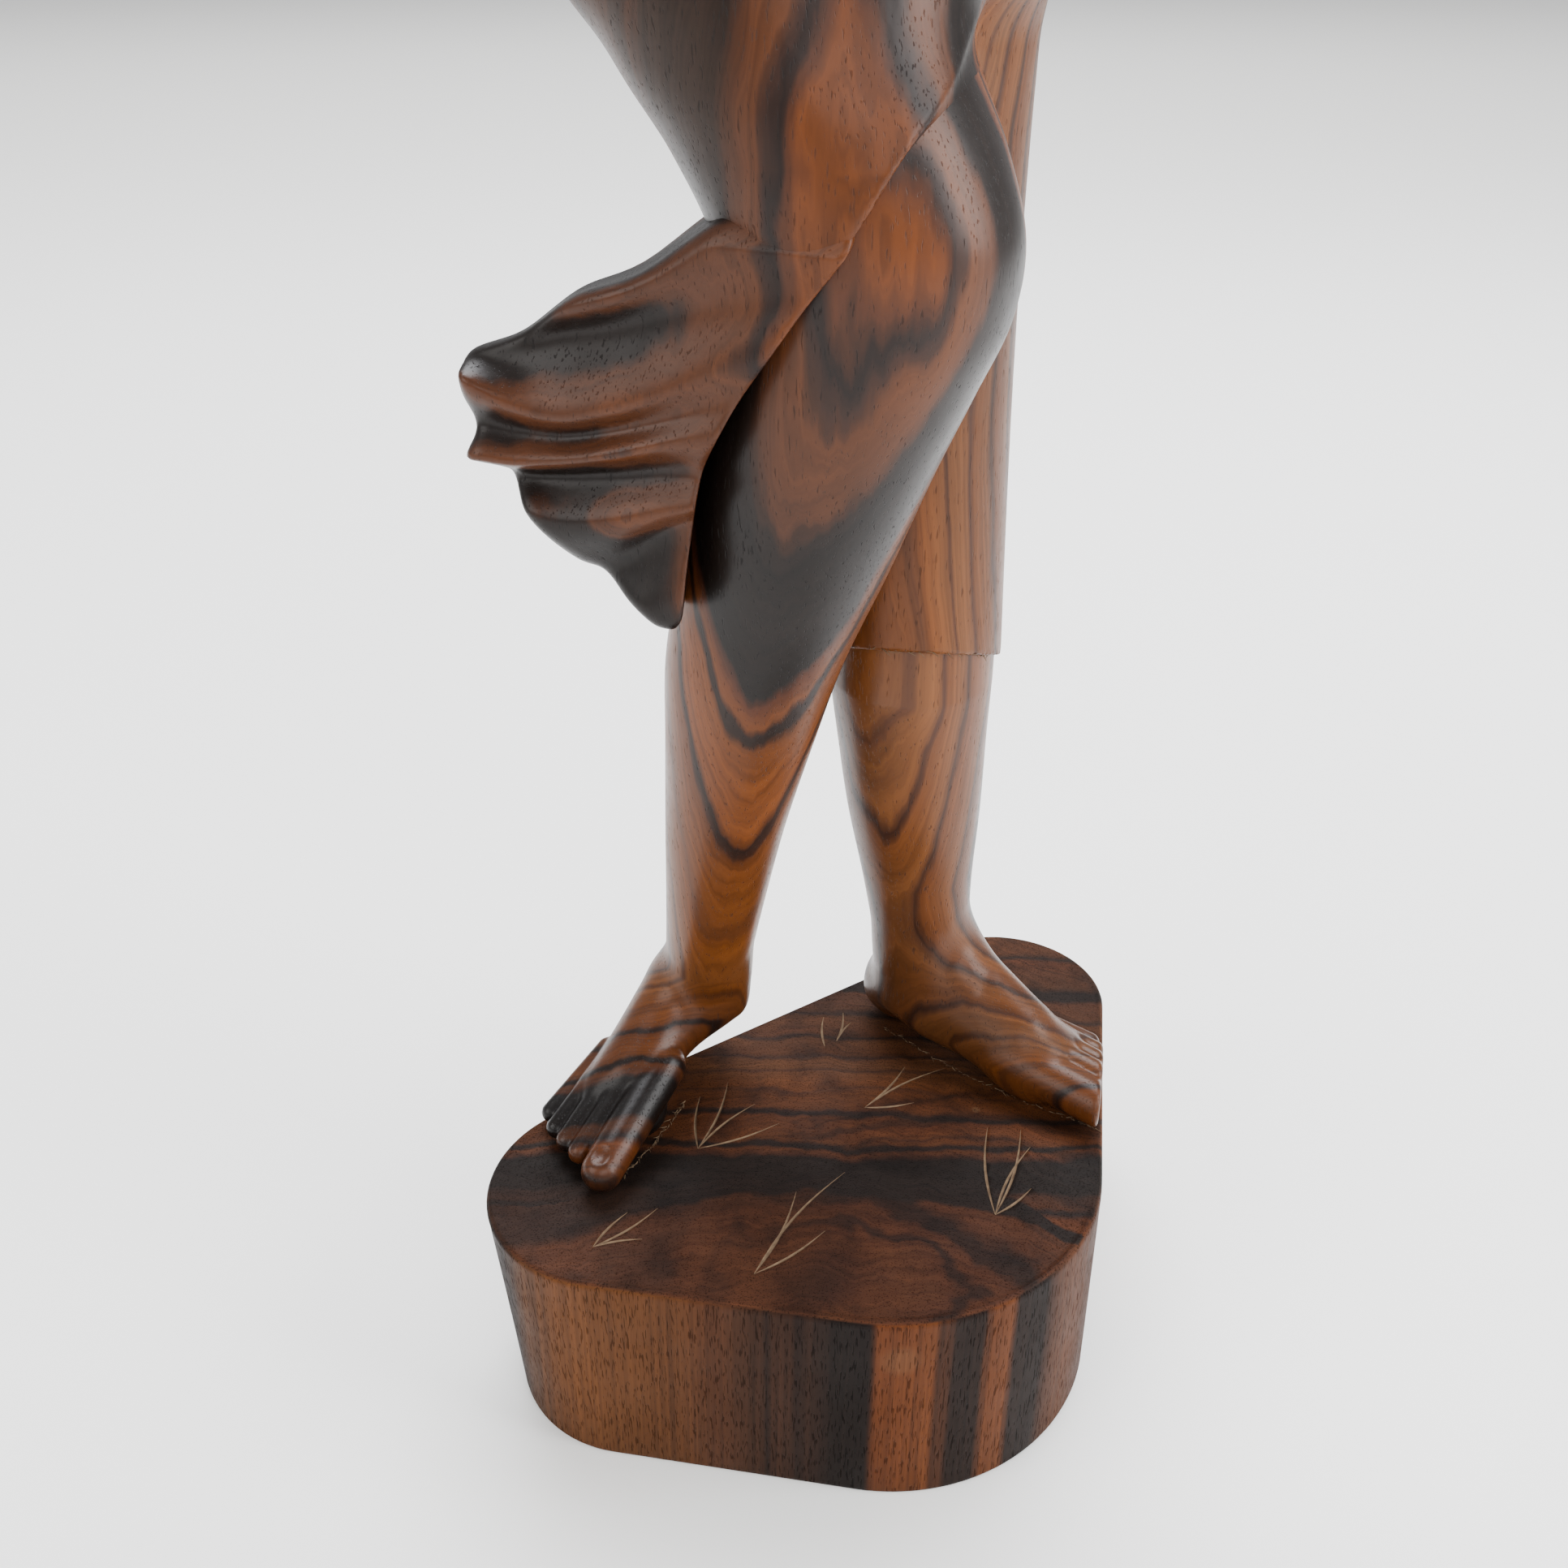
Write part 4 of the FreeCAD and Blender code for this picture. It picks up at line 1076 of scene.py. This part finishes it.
    # end grain drinks more oil, so level faces are darker; the feet are darker towards the bottom;
    # and the figure's left side, on the right, is painted paler as painted light where it is lit more
    # brightly
    for factor in (blotch, add("MapRange", pore, 0, 1, 1.0, polish["poreDark"]),
                   add("MapRange", lie, 0.8, 0.97, 1.0, polish["endGrain"]), polish["oil"],
                   add("MapRange", z, 52, 76, polish["darkFeet"], 1.0),
                   # painted light: paler on the right, where the figure's left side is lit more brightly
                   add("MapRange", x, 4, 16, 1.0, polish["paintedLitSide"])):
        shade = add("Math MULTIPLY", shade, factor)
    if polish["lobes"]:
        # painted sheen and shade: the thigh's outer side is painted smoky grey-brown for the grey sheen and
        # shade along its contour
        outer = add("MapRange", x, -17, -11, 1.0, 0.0, **soft)
        outer = add("Math MULTIPLY", outer, add("MapRange", z, 192, 206, 0.0, 0.8))
        outer = add("Math MULTIPLY", outer, add("MapRange", z, 262, 290, 1.0, 0.0))
        colour = add("Mix", outer, colour, toLinear("#38261C"), **blend)
    colour = add("Mix", 0.1, colour, toLinear("#5C4234"), **blend)
    tinted = add("Mix", 1.0, colour, add("CombineColor", shade, shade, shade), **darken)
    tree.links.new(tinted.outputs["Result"], shader.inputs["Base Color"])

    # rubbed wax: smooth on the crowns, duller where pores open
    rub = grain((1, 1, 1), 0.09, 3.0, 31.0)
    rub = add("MapRange", rub, 0.3, 0.7, polish["gloss"] - 0.05, polish["gloss"] + 0.07)
    rough = add("Math ADD", rub, add("Math MULTIPLY", pore, 0.25))
    tree.links.new(rough.outputs[0], shader.inputs["Roughness"])
    tool = add("Math MULTIPLY", grain((1, 1, 0.5), 0.35, 2.0, 41.0), polish["toolMarks"])
    relief = add("Math SUBTRACT", tool, add("Math MULTIPLY", pore, polish["poreDepth"]))
    bump = add("Bump", {"Height": relief, "Strength": 0.5, "Distance": mm})
    tree.links.new(bump.outputs[0], shader.inputs["Normal"])
    shader.inputs["Specular IOR Level"].default_value = polish["specular"]
    shader.inputs["Coat Weight"].default_value = polish["coat"]
    shader.inputs["Coat Roughness"].default_value = 0.22
    return material


# block: waxed but never polished, so its open pores stay dull and the end grain drinks dark
blockPolish = {
    "gloss": 0.55, "coat": 0.0, "specular": 0.08, "oil": 0.46, "endGrain": 0.72, "toolMarks": 0.10,
    "poreScale": (4.2, 4.2, 0.4), "poreStart": 0.56, "poreDark": 0.5, "poreDepth": 0.12,
    "endGrainRings": True, "paintedLitSide": 1.0, "darkFeet": 0.9, "forefoot": 0.0, "lobes": 0.0, "climb": 0.0,
}
# skin: rubbed smooth and waxed, for soft highlights on the crowns
skinPolish = {
    "gloss": 0.33, "coat": 0.02, "specular": 0.22, "oil": 0.50, "endGrain": 0.85, "toolMarks": 0.10,
    "poreScale": (3.6, 3.6, 0.5), "poreStart": 0.64, "poreDark": 0.55, "poreDepth": 0.08,
    "endGrainRings": False, "paintedLitSide": 1.3, "darkFeet": 0.5, "forefoot": -9.0, "lobes": 0.0, "climb": 0.0,
}
# cloth: as smooth as the skin, with the small flats of the knife left in
clothPolish = {
    **skinPolish,
    "gloss": 0.36, "coat": 0.0, "specular": 0.20, "oil": 0.45, "endGrain": 0.9, "toolMarks": 0.16,
    "poreStart": 0.63, "poreDark": 0.6, "poreDepth": 0.07,
    "paintedLitSide": 1.2, "forefoot": 0.0, "lobes": 0.14, "climb": -7.0,
}
# hair: combed grooves that hold dark oil
hairPolish = {**skinPolish, "oil": 0.2, "gloss": 0.38}
blockWood = makeEbony("waxedEbonyBlock", blockPolish)
skinWood = makeEbony("polishedEbonySkin", skinPolish)
clothWood = makeEbony("polishedEbonyCloth", clothPolish)
hairWood = makeEbony("darkPolishedEbonyHair", hairPolish)
pieces["block"].data.materials[0] = blockWood
woods = {"ebony_block": blockWood, "ebony_skin": skinWood, "ebony_cloth": clothWood, "ebony_hair": hairWood}
for piece in pieces.values():
    if not piece.data.materials:
        piece.data.materials.append(woods[piece["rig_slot"]])
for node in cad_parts.values():
    node.data.materials.clear()
    node.data.materials.append(skinWood)


# stage
def makeFloor():
    mesh = bpy.data.meshes.new("paleFloor")
    mesh.from_pydata([(-6, -6, 0), (6, -6, 0), (6, 6, 0), (-6, 6, 0)], [], [(0, 1, 2, 3)])
    floor = bpy.data.objects.new("paleFloor", mesh)
    bpy.context.scene.collection.objects.link(floor)
    paper = bpy.data.materials.new("whitePaper")
    paper.use_nodes = True
    paper.node_tree.nodes["Principled BSDF"].inputs["Base Color"].default_value = toLinear("#F4F4F2")
    paper.node_tree.nodes["Principled BSDF"].inputs["Roughness"].default_value = 0.9
    mesh.materials.append(paper)


def softLight(name, at, aim, size, watts, tint):
    data = bpy.data.lights.new(name, "AREA")
    data.shape = "RECTANGLE"
    data.size, data.size_y = size
    data.energy = watts
    data.color = toLinear(tint)[:3]
    lamp = bpy.data.objects.new(name, data)
    lamp.location = at
    lamp.rotation_euler = (Vector(aim) - Vector(at)).to_track_quat("-Z", "Y").to_euler()
    bpy.context.scene.collection.objects.link(lamp)


makeFloor()
# where each light hangs, what it faces, its size, watts and tint
lights = {
    "windowOverhead": ((0.15, 0.45, 1.1), (0, 0, 0.1), (1.2, 0.7), 24.0, "#F8F9FF"),
    "windowLeft": ((-1.0, -0.6, 0.8), (0, 0, 0.12), (0.9, 0.9), 13.0, "#FFFDFA"),
    "frontCard": ((0.35, -1.2, 0.9), (0, 0, 0.12), (1.1, 0.6), 11.0, "#FFFFFF"),
    "backWash": ((0.0, 1.7, 2.4), (0, 2.2, 0), (2.6, 1.4), 80.0, "#FFFFFF"),
    "cardRight": ((0.9, -0.25, 0.55), (0, 0, 0.18), (0.5, 0.8), 15.0, "#FFFFFF"),
}
for name, light in lights.items():
    softLight(name, *light)
world = bpy.data.worlds.new("paleRoom")
world.use_nodes = True
world.node_tree.nodes["Background"].inputs["Color"].default_value = toLinear("#FAFAFC")
world.node_tree.nodes["Background"].inputs["Strength"].default_value = 0.7
bpy.context.scene.world = world

view = {"at": (-0.0075, -0.212, 0.230), "down": 30, "lens": 35.4, "sensor": 36.0}
cameraData = bpy.data.cameras.new("camera")
cameraData.lens = view["lens"]
cameraData.sensor_width = view["sensor"]
cameraData.clip_start = 0.01
camera = bpy.data.objects.new("camera", cameraData)
camera.location = view["at"]
camera.rotation_euler = (math.radians(90 - view["down"]), 0, 0)
bpy.context.scene.collection.objects.link(camera)
bpy.context.scene.camera = camera

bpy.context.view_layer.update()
print(f"built in {time.time() - started:.0f} s")
